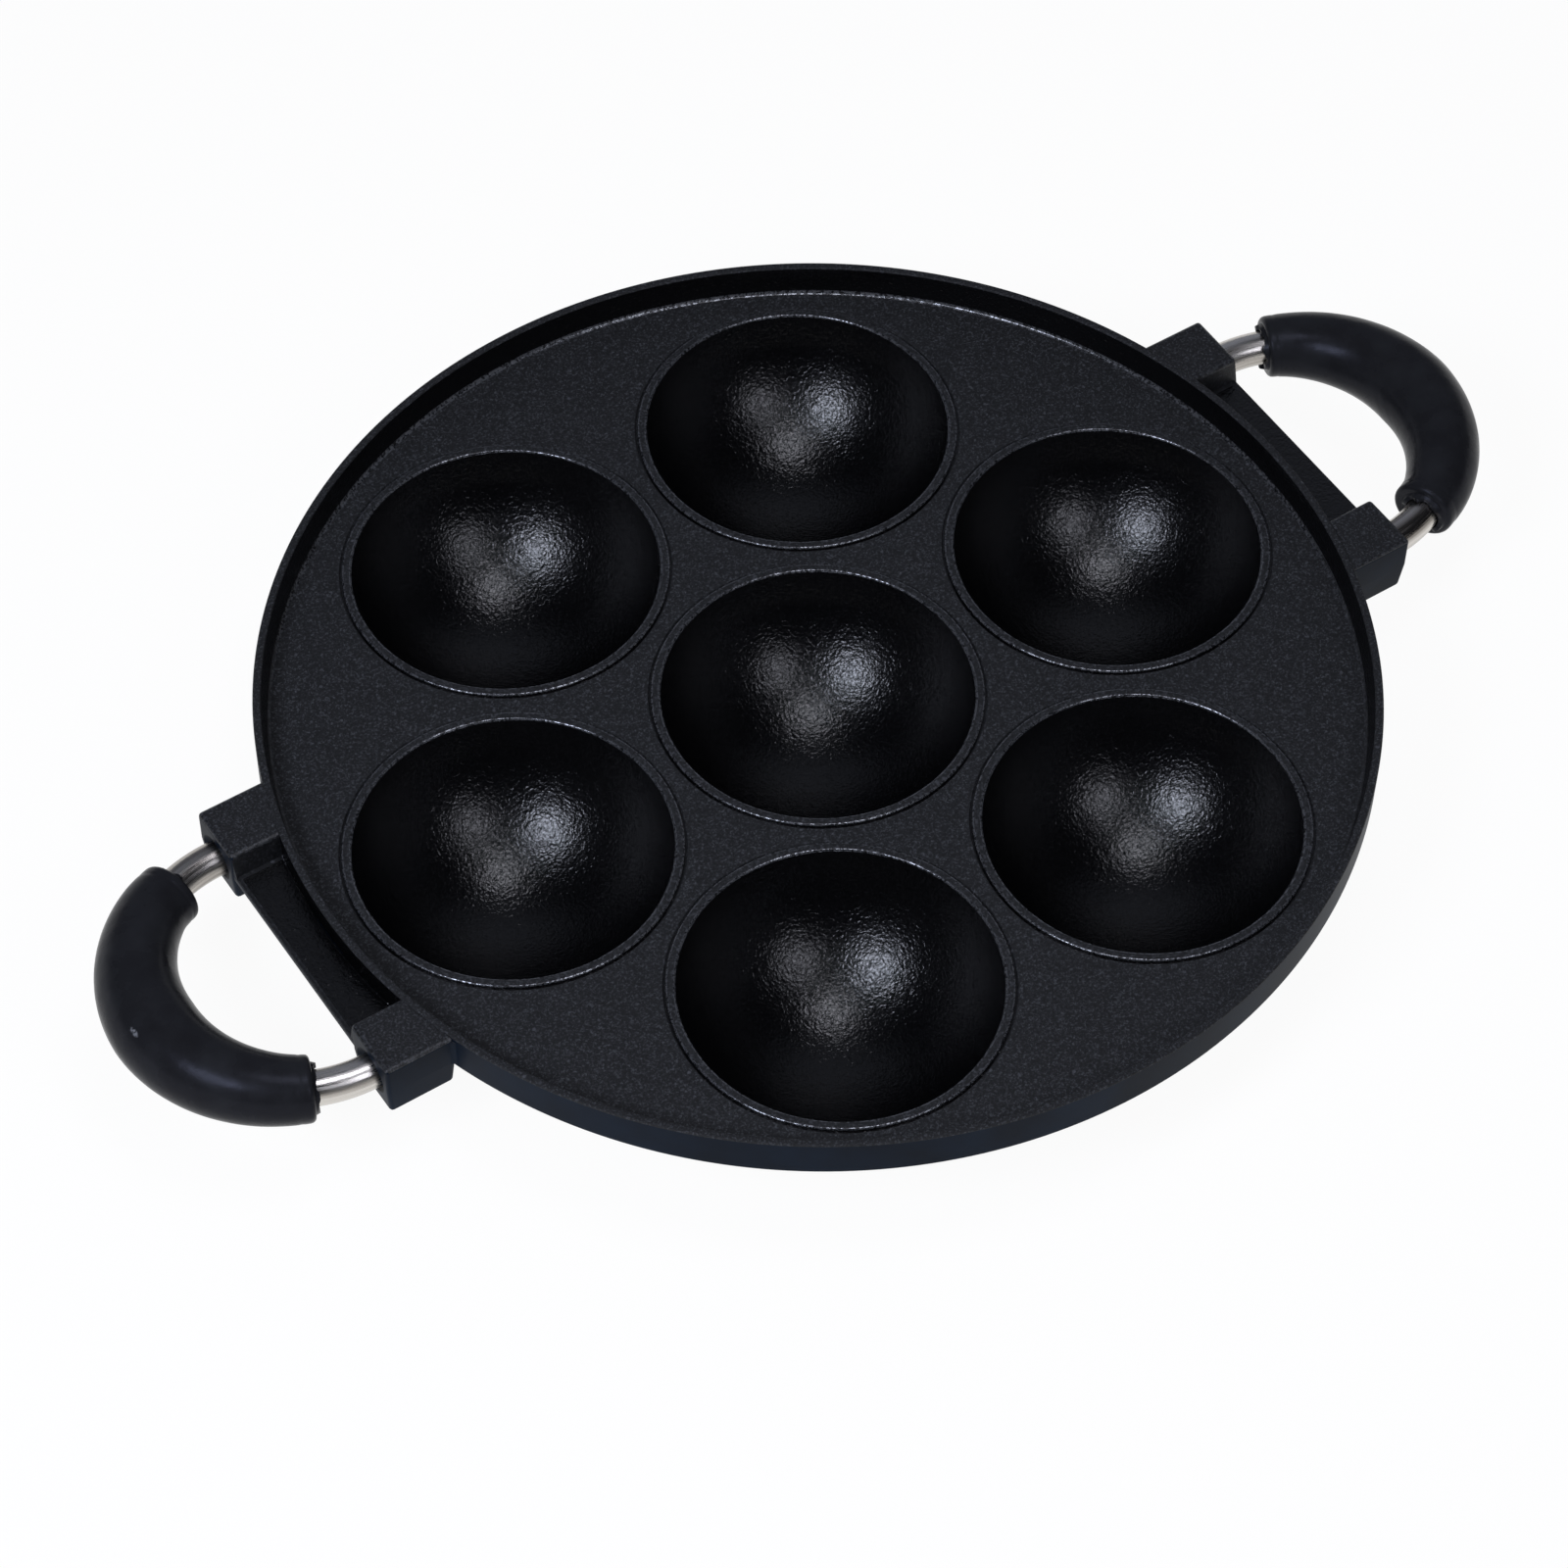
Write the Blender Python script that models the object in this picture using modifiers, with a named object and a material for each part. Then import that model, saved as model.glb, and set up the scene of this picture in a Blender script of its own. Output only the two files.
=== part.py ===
"""Takoyaki pan: a cast body with seven ball cups and two sleeved steel loop handles.

Frame: millimetre sizes turned to metres, +Z up. The origin is on the ground under the
middle of the pan, +X runs along the two handles. The pan stands on the flat feet of its
cups, and heights of the casting are measured from the lip plane, the top of the cup lips.
"""
import math

import bmesh
import bpy
from mathutils import Matrix, Vector

MM = 0.001

# Cups: six round a middle one
CUP_COUNT_ROUND = 6
CUP_OPENING_RADIUS = 33.9 * MM
CUP_DEPTH = 28.0 * MM
CUP_WALL = 4.0 * MM
FOOT_WALL = 2.8 * MM
CUP_LAND = 4.5 * MM

# Raised lip round each cup, and the fine groove outside it
LIP_WIDTH = 2.0 * MM
LIP_RADIUS = 0.4 * MM
GROOVE_WIDTH = 0.6 * MM
GROOVE_DEPTH = 0.5 * MM

# Plate and rim
RIM_LAND = 5.5 * MM
RIM_WALL = 1.8 * MM
RIM_HEIGHT = 6.7 * MM
RIM_DRAFT = 0.9 * MM
RIM_EDGE = 0.35 * MM
INNER_FILLET = 1.2 * MM
LIP_RISE = 0.5 * MM
PLATE_THICKNESS = 2.6 * MM
PLATE_EDGE = 0.6 * MM

# Handle loop: a round rod bent to a half circle between two lugs
HANDLE_OFFSET = 8.95 * MM
HANDLE_RADIUS = 31.85 * MM
HANDLE_DROP = 1.5 * MM
HANDLE_TILT = math.radians(2.1)
ROD_RADIUS = 3.8 * MM
ROD_CHAMFER = 0.8 * MM

# Recess round the rod in each lug's face, and the metal round it
RECESS_MARGIN = 1.3 * MM
RECESS_DEPTH = 1.2 * MM
LUG_CHEEK = 1.75 * MM
LUG_CROWN = 2.4 * MM
LUG_SOLE = 2.1 * MM
LUG_END_WALL = 4.6 * MM
LUG_ROOT = 0.5 * MM
LUG_EDGE = 0.9 * MM
LUG_DRAFT = 0.6 * MM

# Web between the two lugs
WEB_TOP = 1.2 * MM
WEB_BOTTOM = 2.2 * MM
WEB_INSET = 0.3 * MM
WEB_EDGE = 0.9 * MM
WEB_FILLET = 1.6 * MM

# Sleeve on each rod
GRIP_RADIUS = 9.4 * MM
GRIP_END_RADIUS = 6.8 * MM
GRIP_STANDOFF = 12.0 * MM
GRIP_TAPER_POWER = 1.35
GRIP_BEAD = 0.4 * MM
GRIP_BEAD_LENGTH = 3.4 * MM
GRIP_ROUNDING = 1.3 * MM

# Clearance between pieces, and how far tools reach past what they cut or join
FIT = 0.3 * MM
OVERLAP = 2.0 * MM
WELD = 0.005 * MM
SCREW_WELD = 0.01 * MM

# Facets
RIM_SEGMENTS = 96
CUP_SEGMENTS = 32
CUP_RINGS = 6
DOME_RINGS = 4
FILLET_STEPS = 2
WEB_FILLET_STEPS = 3
EDGE_STEPS = 2
BORE_SEGMENTS = 16
ROD_RESOLUTION = 4
GRIP_RESOLUTION = 7
ROD_ARC_STEPS = 22
GRIP_STEPS = 18
GRIP_END_STEPS = 3
ROUNDED_ANGLE = math.radians(30.0)
SMOOTH_ANGLE = math.radians(32.0)

# Sphere of the cups, and the heights and radii of the casting in the part's frame
CUP_SPHERE_RADIUS = (CUP_OPENING_RADIUS ** 2 + CUP_DEPTH ** 2) / (2 * CUP_DEPTH)
CUP_SPHERE_HEIGHT = FOOT_WALL + CUP_SPHERE_RADIUS
DOME_RADIUS = CUP_SPHERE_RADIUS + CUP_WALL
LIP_OUTER_RADIUS = CUP_OPENING_RADIUS + LIP_WIDTH
LIP_PLANE = CUP_DEPTH + FOOT_WALL
PLATE_TOP = LIP_PLANE - LIP_RISE
PLATE_UNDERSIDE = PLATE_TOP - PLATE_THICKNESS
PLATE_MIDDLE = PLATE_TOP - PLATE_THICKNESS / 2
RIM_TOP = LIP_PLANE + RIM_HEIGHT
CUP_PITCH = 2 * LIP_OUTER_RADIUS + CUP_LAND
CUP_RING_RADIUS = CUP_PITCH / min(1.0, 2 * math.sin(math.pi / CUP_COUNT_ROUND))
RIM_BASE_RADIUS = CUP_RING_RADIUS + LIP_OUTER_RADIUS + RIM_LAND
RIM_RADIUS = RIM_BASE_RADIUS + RIM_DRAFT + RIM_WALL

# Lugs, their bores and the rod's ends
HANDLE_REACH = RIM_RADIUS + HANDLE_OFFSET
HANDLE_HEIGHT = LIP_PLANE - HANDLE_DROP
BORE_RADIUS = ROD_RADIUS + FIT
MOUTH_RADIUS = BORE_RADIUS + RECESS_MARGIN
LUG_HALF_WIDTH = MOUTH_RADIUS + LUG_CHEEK
LUG_INNER_X = math.sqrt(RIM_RADIUS ** 2 - (HANDLE_RADIUS + LUG_HALF_WIDTH) ** 2) - LUG_ROOT
ROD_SEATING = HANDLE_REACH - LUG_INNER_X - LUG_END_WALL
WEB_HALF_WIDTH = HANDLE_RADIUS - LUG_HALF_WIDTH
GRIP_HALF_ANGLE = math.acos(GRIP_STANDOFF / HANDLE_RADIUS)

COLLECTION = "takoyaki_pan"


def clear_scene():
    """Remove every object of the opened scene."""
    for obj in list(bpy.data.objects):
        bpy.data.objects.remove(obj, do_unlink=True)


def collection(name):
    """Make a collection in the scene."""
    group = bpy.data.collections.new(name)
    bpy.context.scene.collection.children.link(group)
    return group


def material(name, colour, roughness, metallic):
    """Make a plain Principled material from a linear RGB colour."""
    made = bpy.data.materials.new(name)
    made.use_nodes = True
    shader = made.node_tree.nodes["Principled BSDF"]
    shader.inputs["Base Color"].default_value = (*colour, 1.0)
    shader.inputs["Roughness"].default_value = roughness
    shader.inputs["Metallic"].default_value = metallic
    made.diffuse_color = (*colour, 1.0)
    return made


def add_object(name, data, group):
    """Put a new object in a collection."""
    obj = bpy.data.objects.new(name, data)
    group.objects.link(obj)
    return obj


def mesh_object(name, work, group):
    """Turn a finished bmesh into an object."""
    mesh = bpy.data.meshes.new(name)
    work.to_mesh(mesh)
    work.free()
    return add_object(name, mesh, group)


def evaluated_mesh(obj):
    """Evaluate an object's modifiers into a mesh, welded and facing outwards."""
    bpy.context.view_layer.update()
    graph = bpy.context.evaluated_depsgraph_get()
    mesh = bpy.data.meshes.new_from_object(obj.evaluated_get(graph))
    work = bmesh.new()
    work.from_mesh(mesh)
    bmesh.ops.remove_doubles(work, verts=work.verts, dist=WELD)
    bmesh.ops.recalc_face_normals(work, faces=work.faces)
    work.to_mesh(mesh)
    work.free()
    return mesh


def replaced(obj, mesh, place):
    """Put a mesh at a place under the name of an object that it replaces."""
    name, group = obj.name, obj.users_collection[0]
    bpy.data.objects.remove(obj, do_unlink=True)
    new = add_object(name, mesh, group)
    new.matrix_world = place
    return new


def applied(obj):
    """Bake an object's modifiers and placement into its mesh."""
    mesh = evaluated_mesh(obj)
    mesh.transform(obj.matrix_world)
    return replaced(obj, mesh, Matrix.Identity(4))


def finished(obj, finish):
    """Bake a node where it stands, give it its material and shade its round faces smooth."""
    mesh = evaluated_mesh(obj)
    mesh.materials.append(finish)
    mesh.shade_smooth()
    mesh.set_sharp_from_angle(angle=SMOOTH_ANGLE)
    replaced(obj, mesh, obj.matrix_world.copy())


def arc(centre, radius, start, end, steps):
    """Points of an arc in the profile plane, both ends included, angles in degrees."""
    points = []
    for step in range(steps + 1):
        angle = math.radians(start + (end - start) * step / steps)
        points.append((centre[0] + radius * math.cos(angle), centre[1] + radius * math.sin(angle)))
    return points


def turned(name, profile, segments, group):
    """Turn a profile of (radius, height) points round Z with a Screw modifier.

    The profile runs top to bottom down the outer side, at +X. It is closed by the axis
    where it starts there, and otherwise by its own last edge.
    """
    mesh = bpy.data.meshes.new(name)
    points = [(radius, 0.0, height) for radius, height in profile]
    edges = [(i, i + 1) for i in range(len(points) - 1)]
    if points[0][0] > 0.0:
        edges.append((len(points) - 1, 0))
    mesh.from_pydata(points, edges, [])
    obj = add_object(name, mesh, group)
    screw = obj.modifiers.new("Turn", "SCREW")
    screw.axis = "Z"
    screw.steps = segments
    screw.render_steps = segments
    screw.use_merge_vertices = True
    screw.merge_threshold = SCREW_WELD
    return obj


def joined_copies(sources, name, places, group):
    """Join copies of finished meshes at the given places into one object."""
    work = bmesh.new()
    for source in sources:
        for place in places:
            start = len(work.verts)
            work.from_mesh(source.data)
            work.verts.ensure_lookup_table()
            bmesh.ops.transform(work, matrix=place, verts=work.verts[start:])
        bpy.data.objects.remove(source, do_unlink=True)
    return mesh_object(name, work, group)


def boolean(target, tool, operation):
    """Add an exact Boolean to the target and weld the points that it leaves side by side.

    The tool is shown as wire and left out of the render.
    """
    step = target.modifiers.new(operation.title() + " " + tool.name, "BOOLEAN")
    step.operation = operation
    step.solver = "EXACT"
    step.object = tool
    weld = target.modifiers.new("Weld " + tool.name, "WELD")
    weld.merge_threshold = WELD
    tool.hide_render = True
    tool.display_type = "WIRE"


def box(name, low, high, group):
    """Make a box between two corners."""
    low, high = Vector(low), Vector(high)
    work = bmesh.new()
    bmesh.ops.create_cube(work, size=1.0)
    bmesh.ops.scale(work, vec=high - low, verts=work.verts)
    bmesh.ops.translate(work, vec=(low + high) / 2, verts=work.verts)
    return mesh_object(name, work, group)


def round_edges(obj, width):
    """Round the sharp edges of an object with a Bevel modifier."""
    step = obj.modifiers.new("Round edges", "BEVEL")
    step.width = width
    step.segments = EDGE_STEPS
    step.limit_method = "ANGLE"
    step.angle_limit = ROUNDED_ANGLE
    return obj


def cup_places():
    """Give the placements of the cups, the middle one first."""
    places = [Matrix.Identity(4)]
    for index in range(CUP_COUNT_ROUND):
        angle = 2 * math.pi * index / CUP_COUNT_ROUND
        places.append(Matrix.Rotation(angle, 4, "Z") @ Matrix.Translation((CUP_RING_RADIUS, 0.0, 0.0)))
    return places


def body_blank(group):
    """Turn the outside of the plate and rim as a solid disc."""
    corner = (RIM_RADIUS - PLATE_EDGE, PLATE_UNDERSIDE + PLATE_EDGE)
    edge = (RIM_RADIUS - RIM_EDGE, RIM_TOP - RIM_EDGE)
    profile = [(0.0, RIM_TOP)]
    profile += arc(edge, RIM_EDGE, 90, 0, 1)
    profile += arc(corner, PLATE_EDGE, 0, -90, FILLET_STEPS)
    profile += [(0.0, PLATE_UNDERSIDE)]
    return applied(turned("pan_body", profile, RIM_SEGMENTS, group))


def pan_hollow(group):
    """Turn the tool that clears the inside of the rim down to the plate."""
    top_radius = RIM_RADIUS - RIM_WALL
    fillet = (RIM_BASE_RADIUS - INNER_FILLET, PLATE_TOP + INNER_FILLET)
    profile = [(0.0, RIM_TOP + OVERLAP), (top_radius + RIM_EDGE, RIM_TOP + OVERLAP)]
    profile += [(top_radius + RIM_EDGE, RIM_TOP), (top_radius, RIM_TOP - RIM_EDGE)]
    profile += arc(fillet, INNER_FILLET, 0, -90, FILLET_STEPS)
    profile += [(0.0, PLATE_TOP)]
    return applied(turned("pan_hollow", profile, RIM_SEGMENTS, group))


def cup_shells(group):
    """Turn the solid domes, each with its lip above the plate and its flat foot."""
    lip = (LIP_OUTER_RADIUS - LIP_RADIUS, LIP_PLANE - LIP_RADIUS)
    dome_top = math.degrees(math.asin((PLATE_MIDDLE - CUP_SPHERE_HEIGHT) / DOME_RADIUS))
    dome_foot = math.degrees(math.asin(-CUP_SPHERE_HEIGHT / DOME_RADIUS))
    profile = [(0.0, LIP_PLANE)]
    profile += arc(lip, LIP_RADIUS, 90, 0, 1)
    profile += [(LIP_OUTER_RADIUS, PLATE_MIDDLE)]
    profile += arc((0.0, CUP_SPHERE_HEIGHT), DOME_RADIUS, dome_top, dome_foot, DOME_RINGS)
    profile += [(0.0, 0.0)]
    shell = applied(turned("cup_shell", profile, CUP_SEGMENTS, group))
    return joined_copies([shell], "cup_shells", cup_places(), group)


def cup_hollows(group):
    """Turn the round tools that clear the inside of the cups and ease their mouths."""
    mouth = CUP_OPENING_RADIUS + LIP_RADIUS
    wall_top = math.degrees(math.asin((LIP_PLANE - LIP_RADIUS - CUP_SPHERE_HEIGHT) / CUP_SPHERE_RADIUS))
    profile = [(0.0, LIP_PLANE + OVERLAP), (mouth, LIP_PLANE + OVERLAP), (mouth, LIP_PLANE)]
    profile += arc((0.0, CUP_SPHERE_HEIGHT), CUP_SPHERE_RADIUS, wall_top, -90, CUP_RINGS)
    profile[-1] = (0.0, FOOT_WALL)
    hollow = applied(turned("cup_hollow", profile, CUP_SEGMENTS, group))
    return joined_copies([hollow], "cup_hollows", cup_places(), group)


def lip_grooves(group):
    """Turn the fine grooves outside the lips, cut before the lips fill their inner half."""
    inner = LIP_OUTER_RADIUS - LIP_WIDTH / 2
    outer = LIP_OUTER_RADIUS + GROOVE_WIDTH
    floor = PLATE_TOP - GROOVE_DEPTH
    over = PLATE_TOP + GROOVE_DEPTH
    profile = [(inner, over), (outer, over), (outer, PLATE_TOP)]
    profile += [(LIP_OUTER_RADIUS + GROOVE_WIDTH / 2, floor), (inner, floor)]
    groove = applied(turned("lip_groove", profile, CUP_SEGMENTS, group))
    return joined_copies([groove], "lip_grooves", cup_places(), group)


def lug(name, side, group):
    """Make one lug of the +X handle, drafted below the parting plane at the rod's height."""
    middle = Vector(((LUG_INNER_X + HANDLE_REACH) / 2, side * HANDLE_RADIUS, 0.0))
    low = (LUG_INNER_X, middle.y - LUG_HALF_WIDTH, HANDLE_HEIGHT - MOUTH_RADIUS - LUG_SOLE)
    high = (HANDLE_REACH, middle.y + LUG_HALF_WIDTH, HANDLE_HEIGHT + MOUTH_RADIUS + LUG_CROWN)
    block = box(name, low, high, group)
    work = bmesh.new()
    work.from_mesh(block.data)
    foot = [vertex for vertex in work.verts if vertex.co.z < HANDLE_HEIGHT]
    whole = work.verts[:] + work.edges[:] + work.faces[:]
    parting = Vector((0.0, 0.0, HANDLE_HEIGHT))
    bmesh.ops.bisect_plane(work, geom=whole, plane_co=parting, plane_no=Vector((0.0, 0.0, 1.0)))
    for vertex in foot:
        vertex.co.x -= math.copysign(LUG_DRAFT, vertex.co.x - middle.x)
        vertex.co.y -= math.copysign(LUG_DRAFT, vertex.co.y - middle.y)
    work.to_mesh(block.data)
    work.free()
    return applied(round_edges(block, LUG_EDGE))


def web(group):
    """Make the flat web between the two lugs of the +X handle."""
    low = (LUG_INNER_X + LUG_DRAFT, -WEB_HALF_WIDTH - OVERLAP, LIP_PLANE - WEB_BOTTOM)
    high = (HANDLE_REACH - WEB_INSET, WEB_HALF_WIDTH + OVERLAP, LIP_PLANE + WEB_TOP)
    return applied(round_edges(box("web", low, high, group), WEB_EDGE))


def web_fillet(name, side, group):
    """Extrude the concave strip where the web's top runs up the side of a lug."""
    corner = WEB_HALF_WIDTH - WEB_FILLET
    inner_x = LUG_INNER_X + LUG_DRAFT
    outer_x = HANDLE_REACH - WEB_INSET - WEB_EDGE
    base = LIP_PLANE + WEB_TOP
    outline = [(WEB_HALF_WIDTH + OVERLAP / 2, base - OVERLAP / 2), (corner, base - OVERLAP / 2)]
    outline += arc((corner, base + WEB_FILLET), WEB_FILLET, -90, 0, WEB_FILLET_STEPS)
    outline += [(WEB_HALF_WIDTH + OVERLAP / 2, base + WEB_FILLET)]
    curve = bpy.data.curves.new(name, "CURVE")
    curve.dimensions = "2D"
    curve.fill_mode = "BOTH"
    curve.extrude = (outer_x - inner_x) / 2
    spline = curve.splines.new("POLY")
    spline.points.add(len(outline) - 1)
    spline.use_cyclic_u = True
    for point, (y, z) in zip(spline.points, outline):
        point.co = (side * y, z, 0.0, 1.0)
    strip = add_object(name, curve, group)
    upright = Matrix(((0, 0, 1, 0), (1, 0, 0, 0), (0, 1, 0, 0), (0, 0, 0, 1)))
    strip.matrix_world = Matrix.Translation(((inner_x + outer_x) / 2, 0.0, 0.0)) @ upright
    return applied(strip)


def handle_frame():
    """Give the frame of the +X handle: its origin on the lug faces, tilted up outwards."""
    place = Matrix.Translation((HANDLE_REACH, 0.0, HANDLE_HEIGHT))
    return place @ Matrix.Rotation(-HANDLE_TILT, 4, "Y")


def half_round():
    """Give the turn that takes the +X handle to the -X one."""
    return Matrix.Rotation(math.pi, 4, "Z")


def rod_bore(name, side, group):
    """Turn the blind bore of one lug, with the wider recess at its mouth."""
    depth = ROD_SEATING + FIT
    profile = [(0.0, OVERLAP), (MOUTH_RADIUS, OVERLAP), (MOUTH_RADIUS, 0.0)]
    profile += [(BORE_RADIUS, -RECESS_DEPTH), (BORE_RADIUS, -depth), (0.0, -depth)]
    tool = turned(name, profile, BORE_SEGMENTS, group)
    along_x = Matrix.Rotation(math.pi / 2, 4, "Y")
    tool.matrix_world = handle_frame() @ Matrix.Translation((0.0, side * HANDLE_RADIUS, 0.0)) @ along_x
    return applied(tool)


def pan_body(parts, tools, finish):
    """Cast body: rim and plate, four lugs, two webs and the lipped cups."""
    both = (Matrix.Identity(4), half_round())
    lugs = [lug("lug_upper", 1, tools), lug("lug_lower", -1, tools)]
    fillets = [web_fillet("fillet_upper", 1, tools), web_fillet("fillet_lower", -1, tools)]
    bores = [rod_bore("bore_upper", 1, tools), rod_bore("bore_lower", -1, tools)]
    body = body_blank(parts)
    boolean(body, joined_copies([web(tools)], "webs", both, tools), "UNION")
    boolean(body, joined_copies(lugs, "lugs", both, tools), "UNION")
    boolean(body, joined_copies(fillets, "web_fillets", both, tools), "UNION")
    boolean(body, pan_hollow(tools), "DIFFERENCE")
    boolean(body, lip_grooves(tools), "DIFFERENCE")
    boolean(body, cup_shells(tools), "UNION")
    boolean(body, cup_hollows(tools), "DIFFERENCE")
    boolean(body, joined_copies(bores, "rod_bores", both, tools), "DIFFERENCE")
    finished(body, finish)


def swept(name, stations, resolution, group):
    """Sweep a round section along (point, radius) stations, as a mesh with welded caps."""
    curve = bpy.data.curves.new(name, "CURVE")
    curve.dimensions = "3D"
    curve.bevel_depth = MM
    curve.bevel_resolution = resolution
    curve.use_fill_caps = True
    spline = curve.splines.new("POLY")
    spline.points.add(len(stations) - 1)
    for point, (place, radius) in zip(spline.points, stations):
        point.co = (*place, 1.0)
        point.radius = radius / MM
    return applied(add_object(name, curve, group))


def loop_point(angle):
    """Point of the handle's half circle at an angle from its outermost point."""
    return (HANDLE_RADIUS * math.cos(angle), HANDLE_RADIUS * math.sin(angle), 0.0)


def loop_points():
    """Points of the whole half circle, from one lug face to the other."""
    return [loop_point(math.pi * (step / ROD_ARC_STEPS - 0.5)) for step in range(ROD_ARC_STEPS + 1)]


def handle_rod(name, place, group, finish):
    """Bent steel rod: a straight chamfered end, the half circle, and a straight end."""
    ends = [(ROD_SEATING, ROD_RADIUS - ROD_CHAMFER), (ROD_SEATING - ROD_CHAMFER, ROD_RADIUS)]
    ends += [(ROD_SEATING / 2, ROD_RADIUS)]
    stations = [((-depth, -HANDLE_RADIUS, 0.0), radius) for depth, radius in ends]
    stations += [(point, ROD_RADIUS) for point in loop_points()]
    stations += [((-depth, HANDLE_RADIUS, 0.0), radius) for depth, radius in reversed(ends)]
    rod = swept(name, stations, ROD_RESOLUTION, group)
    rod.matrix_world = place
    finished(rod, finish)


def grip_radius(angle):
    """Radius of the sleeve at an angle from its middle, before its end bead."""
    share = abs(angle) / GRIP_HALF_ANGLE
    return GRIP_RADIUS - (GRIP_RADIUS - GRIP_END_RADIUS) * share ** GRIP_TAPER_POWER


def grip_stations():
    """Points and radii along the sleeve: a fuller middle and a rounded bead at each end."""
    body_angle = GRIP_HALF_ANGLE - GRIP_BEAD_LENGTH / HANDLE_RADIUS
    rounding_angle = GRIP_ROUNDING / HANDLE_RADIUS
    bead_radius = GRIP_END_RADIUS + GRIP_BEAD
    body = [body_angle * (2 * step / GRIP_STEPS - 1) for step in range(GRIP_STEPS + 1)]
    end = []
    for step in range(GRIP_END_STEPS + 1):
        turn = math.pi / 2 * step / GRIP_END_STEPS
        angle = GRIP_HALF_ANGLE - rounding_angle * (1 - math.sin(turn))
        end.append((angle, bead_radius - GRIP_ROUNDING * (1 - math.cos(turn))))
    stations = [(-angle, radius) for angle, radius in reversed(end)]
    stations += [(angle, grip_radius(angle)) for angle in body]
    stations += end
    return [(loop_point(angle), radius) for angle, radius in stations]


def grip(name, place, group, tools, finish):
    """Thick soft sleeve on the rod, with a bore a clearance wider than the rod."""
    sleeve = swept(name, grip_stations(), GRIP_RESOLUTION, group)
    bore = swept(name + "_bore", [(point, BORE_RADIUS) for point in loop_points()], ROD_RESOLUTION, tools)
    boolean(sleeve, bore, "DIFFERENCE")
    sleeve.matrix_world = place
    bore.matrix_world = place
    finished(sleeve, finish)


def main():
    """Build the pan."""
    clear_scene()
    parts = collection(COLLECTION)
    tools = collection("cutters")
    coating = material("non_stick_coating", (0.013, 0.014, 0.016), 0.55, 0.0)
    steel = material("stainless_steel", (0.62, 0.60, 0.57), 0.22, 1.0)
    rubber = material("black_rubber", (0.008, 0.008, 0.010), 0.6, 0.0)
    pan_body(parts, tools, coating)
    for name, place in (("right", handle_frame()), ("left", half_round() @ handle_frame())):
        handle_rod("handle_rod_" + name, place, parts, steel)
        grip("grip_" + name, place, parts, tools, rubber)


main()
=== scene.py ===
"""Dress the takoyaki pan in its coatings, steel and rubber, and set up its studio."""
import logging
import math
from collections.abc import Callable, Iterator
from contextlib import contextmanager
from dataclasses import dataclass
from enum import Enum

import bmesh
import bpy
from mathutils import Euler, Matrix, Vector


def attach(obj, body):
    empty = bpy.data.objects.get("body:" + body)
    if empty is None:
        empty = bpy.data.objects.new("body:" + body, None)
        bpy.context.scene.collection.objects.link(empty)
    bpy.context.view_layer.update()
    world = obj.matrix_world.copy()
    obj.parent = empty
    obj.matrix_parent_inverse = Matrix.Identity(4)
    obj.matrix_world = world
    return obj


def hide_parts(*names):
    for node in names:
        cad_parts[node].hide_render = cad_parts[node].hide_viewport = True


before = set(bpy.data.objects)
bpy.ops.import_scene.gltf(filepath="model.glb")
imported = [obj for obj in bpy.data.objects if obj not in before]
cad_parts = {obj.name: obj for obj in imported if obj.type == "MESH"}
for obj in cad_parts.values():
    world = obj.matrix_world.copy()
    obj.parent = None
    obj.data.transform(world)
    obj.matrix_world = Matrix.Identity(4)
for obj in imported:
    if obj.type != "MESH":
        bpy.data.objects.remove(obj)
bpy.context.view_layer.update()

MM = 0.001
POLE_RADIUS = 0.001 * MM
MERGE_DISTANCE = 0.002 * MM
SAME_LEVEL = 0.02 * MM
PAN_MIDDLE = (0, 0, 30 * MM)
# Face attribute for the coat: real wear on sharp outward edges, and a painted highlight line laid along
# hollow feet of walls.
WEAR_AND_GLINT = "rub"
LAY = "lay"

Piece = bpy.types.Object
Face = bpy.types.MeshPolygon
Finish = bpy.types.Material
Node = bpy.types.Node
Tree = bpy.types.NodeTree
Source = bpy.types.Node | bpy.types.NodeSocket
Pair = tuple[float, float]
Outline = list[Pair]
Point = tuple[float, float, float]
Colour = tuple[float, float, float, float]

log = logging.getLogger("takoyaki_pan")


class Side(Enum):
    """Side of the pan that a handle is on, with its turn about the pan's axis."""

    RIGHT = 0.0
    LEFT = math.pi


class Zone(Enum):
    """Zone of the casting, with the index of its material on a mesh."""

    COATED = 0
    OUTSIDE = 1
    # Cups, and the walls, grooves and hollows painted near-black as shade.
    CUP = 2
    # Webs and the lugs' inner sides, in a darker copy of the coat as painted shade.
    WEB = 3


# Modelling steps


def deselect_all() -> None:
    """Leave edit mode and deselect every object."""
    if bpy.context.object and bpy.context.object.mode != "OBJECT":
        bpy.ops.object.mode_set(mode="OBJECT")
    bpy.ops.object.select_all(action="DESELECT")


def take(obj: Piece) -> None:
    """Make one object the only selected and active one.

    Args:
        obj: Object to take.
    """
    deselect_all()
    obj.select_set(True)
    bpy.context.view_layer.objects.active = obj


@contextmanager
def edit_mode(obj: Piece, action: str = "DESELECT") -> Iterator[None]:
    """Work on an object in edit mode.

    Args:
        obj: Object to work on.
        action: SELECT or DESELECT, done to all of its elements first.

    Returns:
        A context whose block runs in edit mode.
    """
    take(obj)
    bpy.ops.object.mode_set(mode="EDIT")
    bpy.ops.mesh.select_all(action=action)
    yield
    bpy.ops.object.mode_set(mode="OBJECT")


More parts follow.
